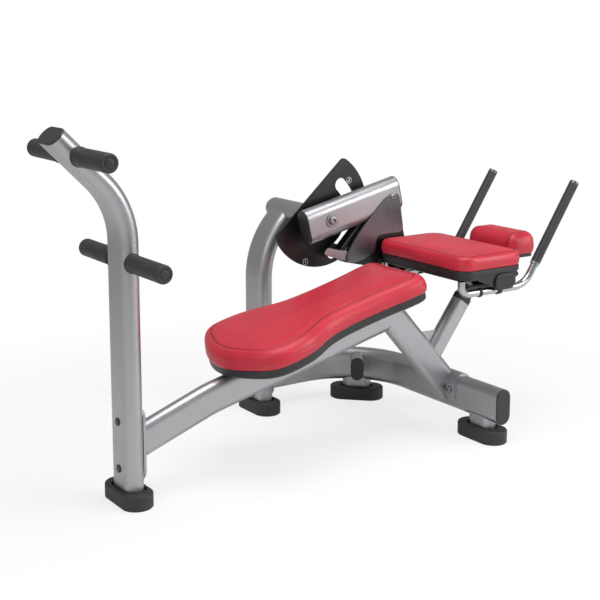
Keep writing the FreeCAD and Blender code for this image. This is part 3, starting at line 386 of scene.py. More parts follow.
def rounded_box(half_x, half_y, radius, count):
    """A rectangle with corner arcs: the corner's centre plus r (cos t, sin t), a quarter turn each."""
    corners = []
    for k, (sx, sy) in enumerate(((1, 1), (-1, 1), (-1, -1), (1, -1))):
        t = np.linspace(k, k + 1, 24) * np.pi / 2
        corners.append(np.column_stack([sx * (half_x - radius) + radius * np.cos(t),
                                        sy * (half_y - radius) + radius * np.sin(t)]))
    return even_spacing(np.vstack(corners), count)


print("seat rim corners", len(flat_points("seat_cushion")))


# %% Carry a section round the outline
def drawn_in(outline, long_axis, middle):
    """For each point the way to the middle line: its unit direction and its length."""
    centre = (outline.min(0) + outline.max(0)) / 2
    core = np.tile(centre, (len(outline), 1))
    low, high = centre[long_axis] - middle, centre[long_axis] + middle
    core[:, long_axis] = np.clip(outline[:, long_axis], low, high)
    reach = core - outline
    width = np.linalg.norm(reach, axis=1)
    return reach / width[:, None], width


def pad_grid(outline, long_axis, middle, thick, roll_in, roll_down, seam, groove, crown, low_roll=7 * MM):
    """The rows of a pad's surface, and for each row how near it is to the seam.

    Top height at inset q: thick - roll_down (1 - sqrt(1 - (1 - q / roll_in)^2)) inside the roll,
    plus crown sin(pi q / 2 width), less the seam's groove exp(-((q - seam) / 2.4 mm)^2)."""
    inward, width = drawn_in(outline, long_axis, middle)
    rows, seam_shade_and_hold = [], []

    def row(inset, height, closeness=0.0):
        """Adds the outline, drawn in by inset, at a height."""
        inset, height = np.broadcast_to(inset, width.shape), np.broadcast_to(height, width.shape)
        rows.append(np.column_stack([outline + inward * inset[:, None], height]))
        seam_shade_and_hold.append(np.full(len(width), closeness))

    for s in np.linspace(0, 1, 9):                                 # underside, from the middle line out
        row(width * (1 - s) + low_roll * s, 0.0)
    for a in np.linspace(0, np.pi / 2, 6)[1:]:                      # lower edge
        row(low_roll * (1 - math.sin(a)), low_roll * (1 - math.cos(a)))
    side = thick - roll_down - low_roll
    for t in np.linspace(0, 1, 9)[1:]:                              # side panel, a little full
        row(-1.8 * MM * math.sin(math.pi * t), low_roll + side * t)
    fixed = set(roll_in * (1 - math.cos(a)) for a in np.linspace(0, np.pi / 2, 13)[1:])
    fixed |= {seam + d * MM for d in (-5, -3.2, -2, -1, 0, 1, 2, 3.2, 5)}
    last = max(fixed)
    steps = [np.full(len(width), q) for q in sorted(fixed)]
    steps += [last + (width - last) * s for s in np.linspace(0, 1, 16)[1:]]
    for q in steps:                                                # over the edge, the seam and the top
        u = np.clip(q / roll_in, 0, 1)
        fall = roll_down * (1 - np.sqrt(np.clip(1 - (1 - u) ** 2, 0, 1)))
        pressed = np.exp(-((q - seam) / (2.4 * MM)) ** 2)
        # the row's closeness to the seam sets the painted shade in the groove, and what the cloth holds
        row(q, thick - fall + crown * np.sin(np.pi / 2 * np.clip(q / width, 0, 1)) - groove * pressed,
            float(pressed.mean()))
    return np.array(rows), np.array(seam_shade_and_hold)


# %% [markdown]
# ## Padding by simulation
#
# Foam under a tight cover swells between its seams and stays down where it is
# sewn. Blender's cloth does the same: the underside and the seam are held, the
# rest is blown up with gravity off, and the result is kept with a cap on how far
# any point may move. The grid already has fine rows at the seam, so the seam
# stays sharp, and the swelling stops on its two sides.


# %% Swell a pad
def bake_modifiers(piece):
    """Replaces the mesh by what its modifiers make of it, and drops them."""
    graph = bpy.context.evaluated_depsgraph_get()
    graph.update()
    result = bpy.data.meshes.new_from_object(piece.evaluated_get(graph))
    piece.modifiers.clear()
    piece.data = result


def swell(piece, cap):
    """20 frames of pressurised cloth with the attribute held kept still, and each move limited to cap."""
    held = np.empty(len(piece.data.vertices), np.float32)
    piece.data.attributes["held"].data.foreach_get("value", held)
    group = piece.vertex_groups.new(name="held")
    group.add(np.flatnonzero(held > 0.5).tolist(), 1.0, "REPLACE")
    before = points_of(piece.data)
    cloth = piece.modifiers.new("swelling", "CLOTH")
    cloth.settings.vertex_group_mass = group.name
    cloth.settings.use_pressure = True
    cloth.settings.uniform_pressure_force = 4.0
    cloth.settings.effector_weights.gravity = 0.0
    cloth.settings.quality = 4
    for number in range(1, 21):
        bpy.context.scene.frame_set(number)
    bake_modifiers(piece)
    move = points_of(piece.data) - before
    length = np.linalg.norm(move, axis=1, keepdims=True)
    set_points(piece.data, before + move * np.minimum(1, cap / np.maximum(length, 1e-9)))
    bpy.context.scene.frame_set(1)
    print(piece.name, "swelled by up to", round(float(np.minimum(length, cap).max()) / MM, 1), "mm")


# %% Turn a shape, and make a pad
def tilt_to(points, origin, angle):
    """Turns points about Y by angle degrees up from +X, then moves them to origin."""
    c, s = math.cos(math.radians(angle)), math.sin(math.radians(angle))
    x, y, z = points[:, 0], points[:, 1], points[:, 2]
    return np.column_stack([x * c - z * s, y, x * s + z * c]) + np.array(origin)


def make_pad(name, grid, seam_shade_and_hold):
    """The closed surface of a pad in its flat frame, with the painted shade along its seam and what the cloth
    must hold.
    """
    piece = surface(name, grid, close_v=True)
    # painted shade: the attribute seam darkens the vinyl in the seam's groove
    shade = piece.data.attributes.new("seam", "FLOAT", "POINT")
    shade.data.foreach_set("value", seam_shade_and_hold.ravel().astype(np.float32))
    under = (np.arange(len(grid)) < 14)[:, None] | (seam_shade_and_hold > 0.25)
    held = piece.data.attributes.new("held", "FLOAT", "POINT")
    held.data.foreach_set("value", under.ravel().astype(np.float32))
    clean(piece)
    return piece


# %% [markdown]
# ## Stitches and the finished pad
#
# A row of stitches runs beside each seam. One stitch is a small capsule whose
# radius swells as the sine along its length. All the stitches of a row are copied
# at once by adding the same small shape to every place along the row, and each
# place is first dropped onto the pad's surface.


# %% A row of stitches
STITCH = 4.6 * MM
STITCH_PITCH = 6.4 * MM
STITCH_R = 0.55 * MM
STITCH_GRID = 6                  # rings in a stitch, and corners in a ring


def stitch_row(name, piece, line):
    """Capsules along a plan line, laid on top of piece.

    A capsule has the radius r sqrt(sin(pi s)) at the share s of its length."""
    n = STITCH_GRID
    tree = BVHTree.FromObject(piece, bpy.context.evaluated_depsgraph_get())
    tops = [tree.ray_cast(Vector((x, y, 1.0)), Vector((0, 0, -1)))[0] for x, y in line]
    places = np.array([top for top in tops if top is not None])
    along = np.roll(places, -1, axis=0) - np.roll(places, 1, axis=0)
    along /= np.linalg.norm(along, axis=1, keepdims=True)
    side = np.cross(along, [0, 0, 1])
    up = np.cross(side, along)
    s = np.linspace(0.02, 0.98, n)
    turn = np.linspace(0, 2 * np.pi, n, endpoint=False)
    r = STITCH_R * np.sqrt(np.sin(np.pi * s))[:, None]
    run = np.broadcast_to(((s - 0.5) * STITCH)[:, None], (n, n))
    one = np.stack([run, r * np.cos(turn), r * np.sin(turn) + 0.15 * MM], axis=-1).reshape(-1, 3)
    cloud = (places[:, None] + one[None, :, :1] * along[:, None]
             + one[None, :, 1:2] * side[:, None] + one[None, :, 2:3] * up[:, None])
    ring = np.arange(n * n).reshape(n, n)
    ring = np.hstack([ring, ring[:, :1]])
    quads = np.stack([ring[:-1, :-1], ring[1:, :-1], ring[1:, 1:], ring[:-1, 1:]], axis=-1).reshape(-1, 4)
    faces = (quads[None] + n * n * np.arange(len(places))[:, None, None]).reshape(-1, 4).tolist()
    ends = [[int(k) + n * n * i for k in order] for i in range(len(places))
            for order in (range(n - 1, -1, -1), range(n * (n - 1), n * n))]
    mesh = bpy.data.meshes.new(name)
    mesh.from_pydata(cloud.reshape(-1, 3).tolist(), [], faces + ends)
    made = bpy.data.objects.new(name, mesh)
    bpy.context.scene.collection.objects.link(made)
    clean(made)
    made.data.materials.append(thread)
    print(name, len(places), "stitches")
    return made


# %% A line of stitches, and a pad put in its place
def perimeter(outline):
    """The sum of the steps round a closed outline."""
    return np.linalg.norm(outline - np.roll(outline, 1, axis=0), axis=1).sum()


def beside_seam(outline, long_axis, middle, inset):
    """The outline drawn in by inset, at the pitch of the stitches."""
    inward, _ = drawn_in(outline, long_axis, middle)
    line = outline + inward * inset
    return even_spacing(line, int(perimeter(line) / STITCH_PITCH))


def finish_pad(piece, body, solid, origin=(0, 0, 0), angle=0.0, stitches=None):
    """Puts a pad in place with its cover, to stand for its solid."""
    for each in [piece] + ([stitches] if stitches else []):
        set_points(each.data, tilt_to(points_of(each.data), origin, angle))
        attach(each, body)
    piece.data.materials.clear()
    piece.data.materials.append(finish["red_vinyl"])
    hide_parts(solid)
    print(piece.name, "faces", len(piece.data.polygons))


# %% [markdown]
# ## The seat
#
# The seat has a wide round front, a waist and a squared rear. Its top panel is
# sewn to the side panel on a line about 30 mm in from the edge, so the edge rolls
# down over a broad band of foam.

# %% Seat pad
SEAT_TIP = (0.306, 0, 0.326)
SEAT_TILT = 13.8
seat_flat = flat_points("seat_cushion", SEAT_TIP, SEAT_TILT)
seat_floor = seat_flat[:, 2].min()
seat_thick = seat_flat[:, 2].max() - seat_floor
seat_plan = rim_outline(seat_flat, 380)
SEAT_MIDDLE = 0.25
SEAT_SEAM = 33 * MM
seat_rows, seat_seam_shade_and_hold = pad_grid(seat_plan, 0, SEAT_MIDDLE, seat_thick - 7 * MM, 32 * MM, 30 * MM,
                                SEAT_SEAM, 3.2 * MM, 5 * MM)
seat_rows[..., 2] += seat_floor
seat_pad = make_pad("seat_pad", seat_rows, seat_seam_shade_and_hold)
swell(seat_pad, 3 * MM)
seat_line = beside_seam(seat_plan, 0, SEAT_MIDDLE, SEAT_SEAM + 3.4 * MM)
finish_pad(seat_pad, "frame", "seat_cushion", SEAT_TIP, SEAT_TILT,
           stitch_row("seat_pad_stitches", seat_pad, seat_line))

# %% [markdown]
# ## The back rest and the head rest
#
# The back rest is a boxier pad: its top panel ends in a seam near a tight edge,
# and it sits in a tray that carries its shell's line up its side. The head rest is
# a bolster, with a broad roll on its long edges and end panels sewn on across it.

# %% Back pad
back_low, back_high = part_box("back_cushion")
TRAY = 17 * MM
back_plan = rim_outline(flat_points("back_cushion"), 380)
BACK_MIDDLE = 0.10
BACK_SEAM = 15 * MM
back_rows, back_seam_shade_and_hold = pad_grid(back_plan, 1, BACK_MIDDLE, back_high.z - back_low.z - TRAY + 2 * MM,
                                17 * MM, 15 * MM, BACK_SEAM, 2.2 * MM, 5 * MM)
back_rows[..., 2] += back_low.z + TRAY
back_pad = make_pad("back_pad", back_rows, back_seam_shade_and_hold)
swell(back_pad, 3 * MM)
back_line = beside_seam(back_plan, 1, BACK_MIDDLE, BACK_SEAM + 3.2 * MM)
finish_pad(back_pad, "crunch_arm", "back_cushion",
           stitches=stitch_row("back_pad_stitches", back_pad, back_line))

# %% Head pad
head_low, head_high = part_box("head_cushion")
HEAD_HALF = 0.114
HEAD_DEPTH = 57 * MM
head_middle = np.array([(head_low.x + head_high.x) / 2 - 14 * MM, 0])
head_plan = rounded_box(HEAD_DEPTH, HEAD_HALF, 26 * MM, 320) + head_middle
head_rows, _ = pad_grid(head_plan, 1, HEAD_HALF - HEAD_DEPTH, head_high.z - head_low.z + 9 * MM,
                        30 * MM, 34 * MM, 40 * MM, 0.0, 4 * MM, low_roll=12 * MM)
head_rows[..., 2] += head_low.z
# the end seams' groove, which also sets the painted shade there and what the cloth holds
end_seam_groove_and_shade = np.exp(-((np.abs(head_rows[..., 1]) - (HEAD_HALF - 25 * MM)) / (2.4 * MM)) ** 2)
end_seam_groove_and_shade = end_seam_groove_and_shade * (head_rows[..., 2] > head_low.z + 13 * MM)
head_rows[..., 2] -= 1.8 * MM * end_seam_groove_and_shade
head_pad = make_pad("head_pad", head_rows, end_seam_groove_and_shade)
swell(head_pad, 3 * MM)
finish_pad(head_pad, "crunch_arm", "head_cushion")


# %% [markdown]
# ## Moulded trays, rings and covers
#
# The small mouldings are flat shapes with softened edges, or turned rings. A flat
# shape is an outline that rises from one face to the other, with its edge rounded
# by a quarter circle. A turned shape is a profile swept round an axis.


# %% A flat shape
def slab(name, outline, low, high, edge, body, slot_name):
    """A flat shape between two heights: outline insets edge (1 - sin a) on both faces."""
    long_axis = int(np.ptp(outline[:, 1]) > np.ptp(outline[:, 0]))
    middle = max(0.0, (np.ptp(outline[:, long_axis]) - np.ptp(outline[:, 1 - long_axis])) / 2)
    inward, width = drawn_in(outline, long_axis, middle * 0.98)
    quarter = np.linspace(0, np.pi / 2, 5)
    steps = [(width * (1 - s) + edge * s, low) for s in np.linspace(0, 1, 5)]
    steps += [(edge * (1 - math.sin(a)), low + edge * (1 - math.cos(a))) for a in quarter[1:]]
    steps += [(edge * (1 - math.cos(a)), high - edge * (1 - math.sin(a))) for a in quarter]
    steps += [(edge * (1 - s) + width * s, high) for s in np.linspace(0, 1, 5)[1:]]
    rows = [np.column_stack([outline + inward * np.broadcast_to(q, width.shape)[:, None],
                             np.full(len(width), z)]) for q, z in steps]
    made = surface(name, np.array(rows), close_v=True)
    dress(made, body, slot_name)
    return made


# %% A turned shape, and a piece's finish
def turned(name, profile, centre, axis, body, slot_name, material=None, count=48):
    """Sweeps a closed profile of (distance along the axis, radius) round an axis."""
    axis = np.array(axis, float) / np.linalg.norm(axis)
    first = np.cross(axis, [0, 0, 1] if abs(axis[2]) < 0.9 else [1, 0, 0])
    first /= np.linalg.norm(first)
    second = np.cross(axis, first)
    turn = np.linspace(0, 2 * np.pi, count, endpoint=False)
    along, radius = np.array(profile, float).T
    spokes = np.cos(turn)[None, :, None] * first + np.sin(turn)[None, :, None] * second
    grid = np.array(centre) + along[:, None, None] * axis + radius[:, None, None] * spokes
    made = surface(name, grid, close_u=radius.min() > 1e-6, close_v=True)
    dress(made, body, slot_name, material)
    return made


def dress(made, body, slot_name, material=None):
    """Cleans a piece, gives it its finish and puts it on its body."""
    clean(made)
    made.data.materials.clear()
    made.data.materials.append(material or finish[slot_name])
    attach(made, body)
    print(made.name, "faces", len(made.data.polygons), "on", body)


# %% Stand a shape up, join shapes, and draw a smooth outline
def stand_up(piece, y):
    """Turns a flat shape made in XY so that its plan lies in XZ, with its thickness along Y from y."""
    points = points_of(piece.data)
    set_points(piece.data, np.column_stack([points[:, 0], y + points[:, 2], points[:, 1]]))
    clean(piece)


def join(name, pieces):
    """Several pieces of one material and one body as one mesh."""
    corners, faces, start = [], [], 0
    for piece in pieces:
        points = points_of(piece.data)
        corners.append(points)
        faces += [[int(v) + start for v in face.vertices] for face in piece.data.polygons]
        start += len(points)
    mesh = bpy.data.meshes.new(name)
    mesh.from_pydata(np.vstack(corners).tolist(), [], faces)
    for material in pieces[0].data.materials:
        mesh.materials.append(material)
    mesh.shade_smooth()
    made = bpy.data.objects.new(name, mesh)
    bpy.context.scene.collection.objects.link(made)
    for piece in pieces:
        bpy.data.objects.remove(piece, do_unlink=True)
    return made


def chain(points, steps=14):
    """A smooth closed curve through points, by Catmull and Rom.

    From b to c it is 0.5 (2b + (c - a) t + (2a - 5b + 4c - d) t^2 + (3b - a - 3c + d) t^3)."""
    p = np.array(points, float)
    a, b, c, d = np.roll(p, 1, 0), p, np.roll(p, -1, 0), np.roll(p, -2, 0)
    t = np.linspace(0, 1, steps, endpoint=False)[:, None, None]
    square, cube = 2 * a - 5 * b + 4 * c - d, 3 * b - a - 3 * c + d
    curve = 0.5 * (2 * b + (c - a) * t + square * t ** 2 + cube * t ** 3)
    return curve.transpose(1, 0, 2).reshape(-1, 2)


# %% Back tray and head board
slab("back_tray", back_plan, back_low.z - 0.5 * MM, back_low.z + TRAY - 0.3 * MM, 2 * MM,
     "crunch_arm", "black_plastic")
board_low, board_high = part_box("head_board")
board_plan = rounded_box(HEAD_DEPTH - 4 * MM, HEAD_HALF - 6 * MM, 22 * MM, 240) + head_middle
board = slab("head_base", board_plan, board_low.z, board_high.z - 0.3 * MM, 2 * MM,
             "crunch_arm", "black_plastic")
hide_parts("head_board")

# %% Handle bar rings and links
BAR_Y = 0.198
BAR_Z = 0.510
BAR_R = 12.5 * MM
RING_WALL = 3.5 * MM
RING_GAP = 0.2 * MM
RING_EDGE = 1 * MM
RING_PLACES = ((1.166, 5 * MM), (1.248, 9 * MM))     # place along the bar, and half length
LINK_THICK = 11 * MM
LINK_PLAN = [(1.098, 0.5235), (1.160, 0.5240), (1.225, 0.5245), (1.262, 0.5290), (1.262, 0.5440),
             (1.225, 0.5420), (1.160, 0.5345), (1.098, 0.5290)]


def ring_profile(half):
    """A short sleeve: its bore, two end faces, and an outer face with chamfered edges."""
    bore, outer = BAR_R + RING_GAP, BAR_R + RING_WALL
    return [(-half, bore), (-half, outer - RING_EDGE), (-half + RING_EDGE, outer),
            (half - RING_EDGE, outer), (half, outer - RING_EDGE), (half, bore)]


rings = []
for side in (-1, 1):
    for x, half in RING_PLACES:
        rings.append(turned("ring", ring_profile(half), (x, side * BAR_Y, BAR_Z), (1, 0, 0),
                            "crunch_arm", "black_plastic"))
    strip = slab("strip", even_spacing(chain(LINK_PLAN), 160), 0, LINK_THICK, 1.5 * MM,
                 "crunch_arm", "black_plastic")
    stand_up(strip, side * BAR_Y - LINK_THICK / 2)
    rings.append(strip)
bar_rings = join("bar_rings", rings)
dress(bar_rings, "crunch_arm", "black_plastic")
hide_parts("bar_clamps")

# %% Oval covers on the shell's cheeks
COVER_CENTRE = [1.256, 0.540]
COVER_HALF = (44 * MM, 26 * MM)
COVER_END_R = 25.5 * MM
CHEEK_Y = 0.2205
covers = []
for side in (-1, 1):
    oval = rounded_box(*COVER_HALF, COVER_END_R, 160) + COVER_CENTRE
    cover = slab("cover", oval, -1.5 * MM, 8 * MM, 3 * MM, "crunch_arm", "black_plastic")
    stand_up(cover, CHEEK_Y)
    set_points(cover.data, points_of(cover.data) * [1, side, 1])
    clean(cover)
    covers.append(cover)
oval_covers = join("oval_covers", covers)
dress(oval_covers, "crunch_arm", "black_plastic")
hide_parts("side_bosses")

# %% [markdown]
# ## Foot rolls
#
# The foot rolls are moulded rubber sleeves. Each has a rounded outer end with a
# shallow ring in its face, and a small flange against the post. All of that is one
# profile turned round the peg bar, so the profile is written once and used for the
# four rolls.

# %% The profile of a foot roll
ROLL_START = 60.5 * MM
ROLL_REACH = 0.247
ROLL_R = 26.5 * MM
ROLL_END = 6 * MM
FLANGE = 2 * MM
FACE_RING = 1.2 * MM


def roll_profile(start, stop, radius):
    """Flange, barrel, an end rounded by a quarter circle, and a ring sunk in the end face."""
    quarter = np.linspace(0, np.pi / 2, 7)[1:]
    profile = [(start, 0.0), (start, radius + FLANGE), (start + 2.5 * MM, radius + FLANGE),
               (start + 4.5 * MM, radius)]
    profile += [(s, radius) for s in np.linspace(start + 10 * MM, stop - ROLL_END, 12)]
    profile += [(stop - ROLL_END + ROLL_END * math.sin(a), radius - ROLL_END + ROLL_END * math.cos(a))
                for a in quarter]
    profile += [(stop, radius * 0.62), (stop - FACE_RING, radius * 0.60), (stop - FACE_RING, radius * 0.54),
                (stop, radius * 0.52), (stop, radius * 0.2), (stop, 0.0)]
    return profile


print("a roll is", round((ROLL_REACH - ROLL_START) / MM, 1), "mm long")

# %% Four foot rolls
for solid in ("lower_peg_grips", "upper_peg_grips"):
    peg_low, peg_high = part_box(solid)
    peg_middle = ((peg_low.x + peg_high.x) / 2, 0, (peg_low.z + peg_high.z) / 2)
    pair = [turned("roll", roll_profile(ROLL_START, ROLL_REACH, ROLL_R), peg_middle, (0, side, 0),
                   "frame", "rubber", count=64) for side in (-1, 1)]
    rolls = join(solid.replace("grips", "rolls"), pair)
    dress(rolls, "frame", "rubber")
    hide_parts(solid)

# %% [markdown]
# ## The arm's side plate and the link
#
# A curved steel plate is bolted to the near face of the arm and runs down beside
# the strut to the pad, and a short link holds the stop bar. Both are cut from flat
# plate, so each is one smooth outline with a thickness and a small bevel, which
# catches the light along its edge. The side plate's darker coat is painted shade:
# the silver paint darkened for the dark reflection the plate shows, which sets it
# off from the silver tube behind it.


# %% Graphite powder coat, painted shade on the side plate
def graphite_and_painted_shade_coat():
    """Dark metallic powder, between the silver and the black ones; on the side plate it is painted shade, the
    silver paint darkened.
    """
    made, tree, shader, place = start_material("graphite_and_painted_shade_coat", 0.3, 0.85)
    flake = grain(tree, place, 1.5 * MM, 2.0)
    tree.links.new(two_tone(tree, flake.outputs["Fac"], "#626266", "#737378"), shader.inputs["Base Color"])
    cloud = grain(tree, place, 70 * MM)
    tree.links.new(spread(tree, cloud.outputs["Fac"], 0.26, 0.36), shader.inputs["Roughness"])
    peel = grain(tree, place, 4 * MM, 1.0)
    tree.links.new(relief(tree, peel.outputs["Fac"], 0.06 * MM), shader.inputs["Normal"])
    return made


graphite_and_painted_shade = graphite_and_painted_shade_coat()
grip_plugs = frame["nodes"]["grip_ends"]
grip_plugs.data.materials.clear()
grip_plugs.data.materials.append(graphite_and_painted_shade)
print("graphite coat on", grip_plugs.name)


# %% A flat plate of any outline
def plate_from(name, outline, y_low, y_high, body, slot_name, material):
    """A flat plate of any outline in XZ: one polygon, extruded along Y, with its edges bevelled."""
    shape = bmesh.new()
    corners = [shape.verts.new((x, y_low, z)) for x, z in outline]
    face = shape.faces.new(corners)
    moved = bmesh.ops.extrude_face_region(shape, geom=[face])
    for vert in [v for v in moved["geom"] if isinstance(v, bmesh.types.BMVert)]:
        vert.co.y = y_high
    rims = [e for e in shape.edges if len(e.link_faces) == 2 and e.calc_face_angle() > SHARP]
    bmesh.ops.bevel(shape, geom=rims, offset=PLATE_BEVEL, segments=2, profile=0.5, affect="EDGES")
    bmesh.ops.recalc_face_normals(shape, faces=shape.faces)
    mesh = bpy.data.meshes.new(name)
    shape.to_mesh(mesh)
    shape.free()
    mesh.materials.append(material)
    made = bpy.data.objects.new(name, mesh)
    bpy.context.scene.collection.objects.link(made)
    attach(made, body)
    print(name, "outline of", len(outline), "corners")


# %% Side plate and link
SIDE_PLAN = [(1.150, 0.786), (1.118, 0.780), (1.092, 0.762), (1.062, 0.734), (1.030, 0.705),
             (0.998, 0.673), (0.966, 0.634), (0.946, 0.602), (0.940, 0.580), (0.952, 0.563),
             (0.985, 0.565), (1.030, 0.578), (1.056, 0.596), (1.062, 0.625), (1.070, 0.644),
             (1.100, 0.650), (1.150, 0.650), (1.176, 0.654), (1.180, 0.670), (1.172, 0.720),
             (1.164, 0.770)]
STOP_LINK_PLAN = [(0.866, 0.622), (0.905, 0.612), (0.955, 0.600), (0.972, 0.590),
                  (0.968, 0.574), (0.945, 0.570), (0.900, 0.584), (0.864, 0.596), (0.852, 0.608)]
PLATE_BEVEL = 0.8 * MM
SHARP = 1.2                      # radians between two faces, above which their edge is bevelled
SIDE_Y = (0.2120, 0.2176)        # both faces of the side plate
STOP_LINK_Y = (0.2185, 0.2235)
# painted shade: the side plate takes the darkened silver coat for the dark reflection it shows
plate_from("arm_side_plate", chain(SIDE_PLAN), *SIDE_Y, "crunch_arm", "black_paint", graphite_and_painted_shade)
plate_from("stop_link_plate", even_spacing(chain(STOP_LINK_PLAN), 120), *STOP_LINK_Y,
           "crunch_arm", "frame_paint", finish["frame_paint"])

# %% [markdown]
# ## The seat's base plate
#
# The seat is screwed to a steel plate that is narrow over the rail and widens
# under the seat's rear, where it shows as a light edge. Its length and thickness
# come from its solid, and its outline is drawn once for one side and mirrored.

# %% Seat base plate
plate_flat = flat_points("seat_plate", SEAT_TIP, SEAT_TILT)
x_low, plate_low = plate_flat[:, 0].min(), plate_flat[:, 2].min()
x_high, plate_high = plate_flat[:, 0].max(), plate_flat[:, 2].max()
half_plan = [(x_low, 0.052), (x_low + 0.01, 0.060), (x_high - 0.21, 0.060), (x_high - 0.15, 0.112),
             (x_high - 0.10, 0.128), (x_high - 0.02, 0.130), (x_high, 0.118)]
base_plan = even_spacing(np.array(half_plan + [(x, -y) for x, y in half_plan[::-1]]), 300)
base_plate = slab("seat_base_plate", base_plan, plate_low, plate_high - 0.2 * MM, 1 * MM,
                  "frame", "frame_paint")
set_points(base_plate.data, tilt_to(points_of(base_plate.data), SEAT_TIP, SEAT_TILT))
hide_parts("seat_plate")

# %% [markdown]
# ## Printed numbers
#
# The sector plate carries one printed number in a ring near each end of its slot.
# Pad printing lays ink on top of the paint, so a number is real type made a mesh,
# a quarter of a millimetre thick, and it stands on the plate's near face.

# %% Numbers in rings
PIVOT_X, PIVOT_Z = 0.880, 0.716
NUMBER_SIZE = 16 * MM
NUMBER_RING = (9.4 * MM, 11 * MM)
INK = 0.12 * MM
NUMBER_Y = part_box("sector_plate")[0].y - 0.2 * MM
NUMBERS = (("1", 251, 0.158, -18), ("2", 42, 0.176, 35))   # text, direction and distance from the pivot, turn


def printed_number(text, x, z, turn_angle):
    """A numeral as a mesh, stood up to face the foot side, and a flat ring round it."""
    letters = bpy.data.curves.new("numeral", "FONT")
    letters.body = text
    letters.size = NUMBER_SIZE
    letters.extrude = INK
    letters.offset = 0.35 * MM
    letters.align_x, letters.align_y = "CENTER", "CENTER"
    numeral = bpy.data.objects.new("numeral", letters)
    bpy.context.scene.collection.objects.link(numeral)
    graph = bpy.context.evaluated_depsgraph_get()
    graph.update()
    mesh = bpy.data.meshes.new_from_object(numeral.evaluated_get(graph))
    bpy.data.objects.remove(numeral, do_unlink=True)
    turn = Euler((math.pi / 2, math.radians(turn_angle), 0)).to_matrix().to_4x4()
    mesh.transform(Matrix.Translation((x, NUMBER_Y, z)) @ turn)
    made = bpy.data.objects.new("number_" + text, mesh)
    bpy.context.scene.collection.objects.link(made)
    dress(made, "frame", "black_paint", ink)
    made.data.shade_flat()
    inner, outer = NUMBER_RING
    turned("number_ring_" + text, [(-INK, inner), (-INK, outer), (INK, outer), (INK, inner)],
           (x, NUMBER_Y, z), (0, 1, 0), "frame", "black_paint", ink)


for text, direction, distance, turn_angle in NUMBERS:
    printed_number(text, PIVOT_X + distance * math.cos(math.radians(direction)),
                   PIVOT_Z + distance * math.sin(math.radians(direction)), turn_angle)

# %% [markdown]
# ## Studio
#
# A white floor and large soft lamps, as for a catalogue. The camera stands low at
# the foot end, well back with a long lens, so upright tubes stay nearly parallel.

# %% A floor that fades to white
FLOOR_HALF = 15
FADE_MIDDLE = (0.65, 0.12, 0)
FADE_FROM, FADE_TO = 0.9, 1.9


def pale_floor():
    """White paper that takes a soft shadow near the object and becomes plain white further out."""
    made = bpy.data.materials.new("studio_floor")
    made.use_nodes = True
    tree = made.node_tree
    shader = tree.nodes["Principled BSDF"]
    shader.inputs["Roughness"].default_value = 0.75
    place = add(tree, "ShaderNodeTexCoord").outputs["Object"]
    paper = grain(tree, place, 30 * MM)
    tree.links.new(two_tone(tree, paper.outputs["Fac"], "#F0F0F0", "#F4F4F4"), shader.inputs["Base Color"])
    white = add(tree, "ShaderNodeEmission", {"Color": (1, 1, 1, 1), "Strength": 1.0})
    moved = add(tree, "ShaderNodeVectorMath", {0: place, 1: FADE_MIDDLE}, operation="SUBTRACT")
    distance = add(tree, "ShaderNodeVectorMath", {0: moved.outputs["Vector"]}, operation="LENGTH")
    far = add(tree, "ShaderNodeMapRange",
              {"Value": distance.outputs["Value"], "From Min": FADE_FROM, "From Max": FADE_TO,
               "To Min": 0.72, "To Max": 1.0}, interpolation_type="SMOOTHSTEP")
    ray = add(tree, "ShaderNodeLightPath")
    share = add(tree, "ShaderNodeMath", {0: ray.outputs["Is Camera Ray"], 1: far.outputs["Result"]},
                operation="MULTIPLY")
    mix = add(tree, "ShaderNodeMixShader", {0: share.outputs[0], 1: shader.outputs[0], 2: white.outputs[0]})
    tree.links.new(mix.outputs[0], tree.nodes["Material Output"].inputs["Surface"])
    return made


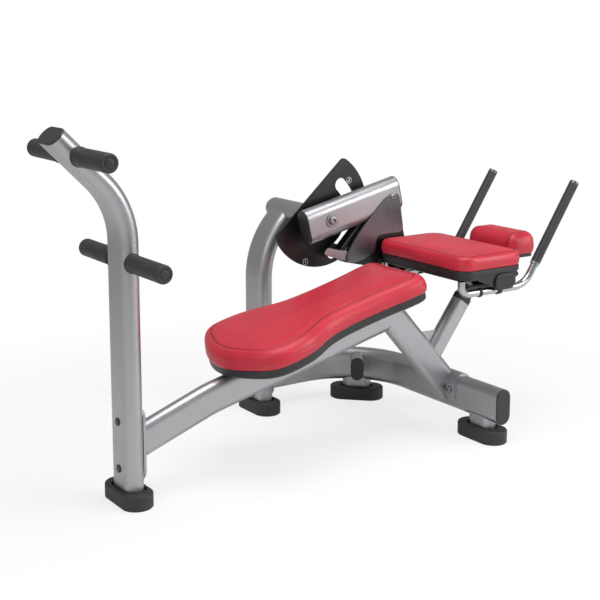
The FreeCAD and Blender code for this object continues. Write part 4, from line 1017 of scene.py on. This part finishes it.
edge = FLOOR_HALF
floor = surface("floor", np.array([[[-edge, -edge, 0], [-edge, edge, 0]],
                                   [[edge, -edge, 0], [edge, edge, 0]]], float))
clean(floor)
if floor.data.polygons[0].normal.z < 0:
    floor.data.flip_normals()
floor.data.materials.append(pale_floor())
print("floor", 2 * FLOOR_HALF, "m across")


# %% Sky and lamps
def lamp(name, place, aim, size, power):
    """A softbox at a place, turned to face a point; power in watts."""
    data = bpy.data.lights.new(name, "AREA")
    data.shape = "RECTANGLE"
    data.size, data.size_y = size
    data.energy = power
    made = bpy.data.objects.new(name, data)
    made.location = place
    made.rotation_euler = (Vector(aim) - Vector(place)).to_track_quat("-Z", "Y").to_euler()
    bpy.context.scene.collection.objects.link(made)
    print(name, power, "W")


world = bpy.data.worlds.new("studio")
bpy.context.scene.world = world
world.use_nodes = True
sky = world.node_tree
rays = add(sky, "ShaderNodeLightPath")
level = add(sky, "ShaderNodeMapRange", {"Value": rays.outputs["Is Camera Ray"], "To Min": 0.4, "To Max": 1.0})
sky.links.new(level.outputs["Result"], sky.nodes["Background"].inputs["Strength"])
sky.nodes["Background"].inputs["Color"].default_value = (1, 1, 1, 1)

lamp("top_softbox", (0.5, -0.6, 3.4), (0.7, 0.1, 0.4), (2.6, 1.8), 78)
lamp("foot_side_softbox", (-2.6, -1.4, 2.0), (0.5, 0.1, 0.5), (1.6, 2.0), 22)
lamp("head_side_softbox", (3.2, -2.4, 1.8), (0.9, 0.0, 0.5), (1.6, 2.0), 60)

# %% Camera
CAMERA_PLACE = Vector((-1.475, -3.048, 1.368))
HEADING = 0.973                  # radians from +X towards +Y
PITCH = math.radians(9.56)       # how far the camera looks down
SHIFT = -0.12
LENS = 72.9
camera_data = bpy.data.cameras.new("camera")
camera_data.lens = LENS
camera_data.sensor_width = 36
camera_data.shift_y = SHIFT
camera = bpy.data.objects.new("camera", camera_data)
camera.location = CAMERA_PLACE
ahead = Vector((math.cos(HEADING), math.sin(HEADING), 0))
look = ahead * math.cos(PITCH) - Vector((0, 0, math.sin(PITCH)))
camera.rotation_euler = look.to_track_quat("-Z", "Y").to_euler()
bpy.context.scene.collection.objects.link(camera)
bpy.context.scene.camera = camera
bpy.context.scene.view_settings.view_transform = "Standard"
print("camera", [round(v, 3) for v in camera.location])
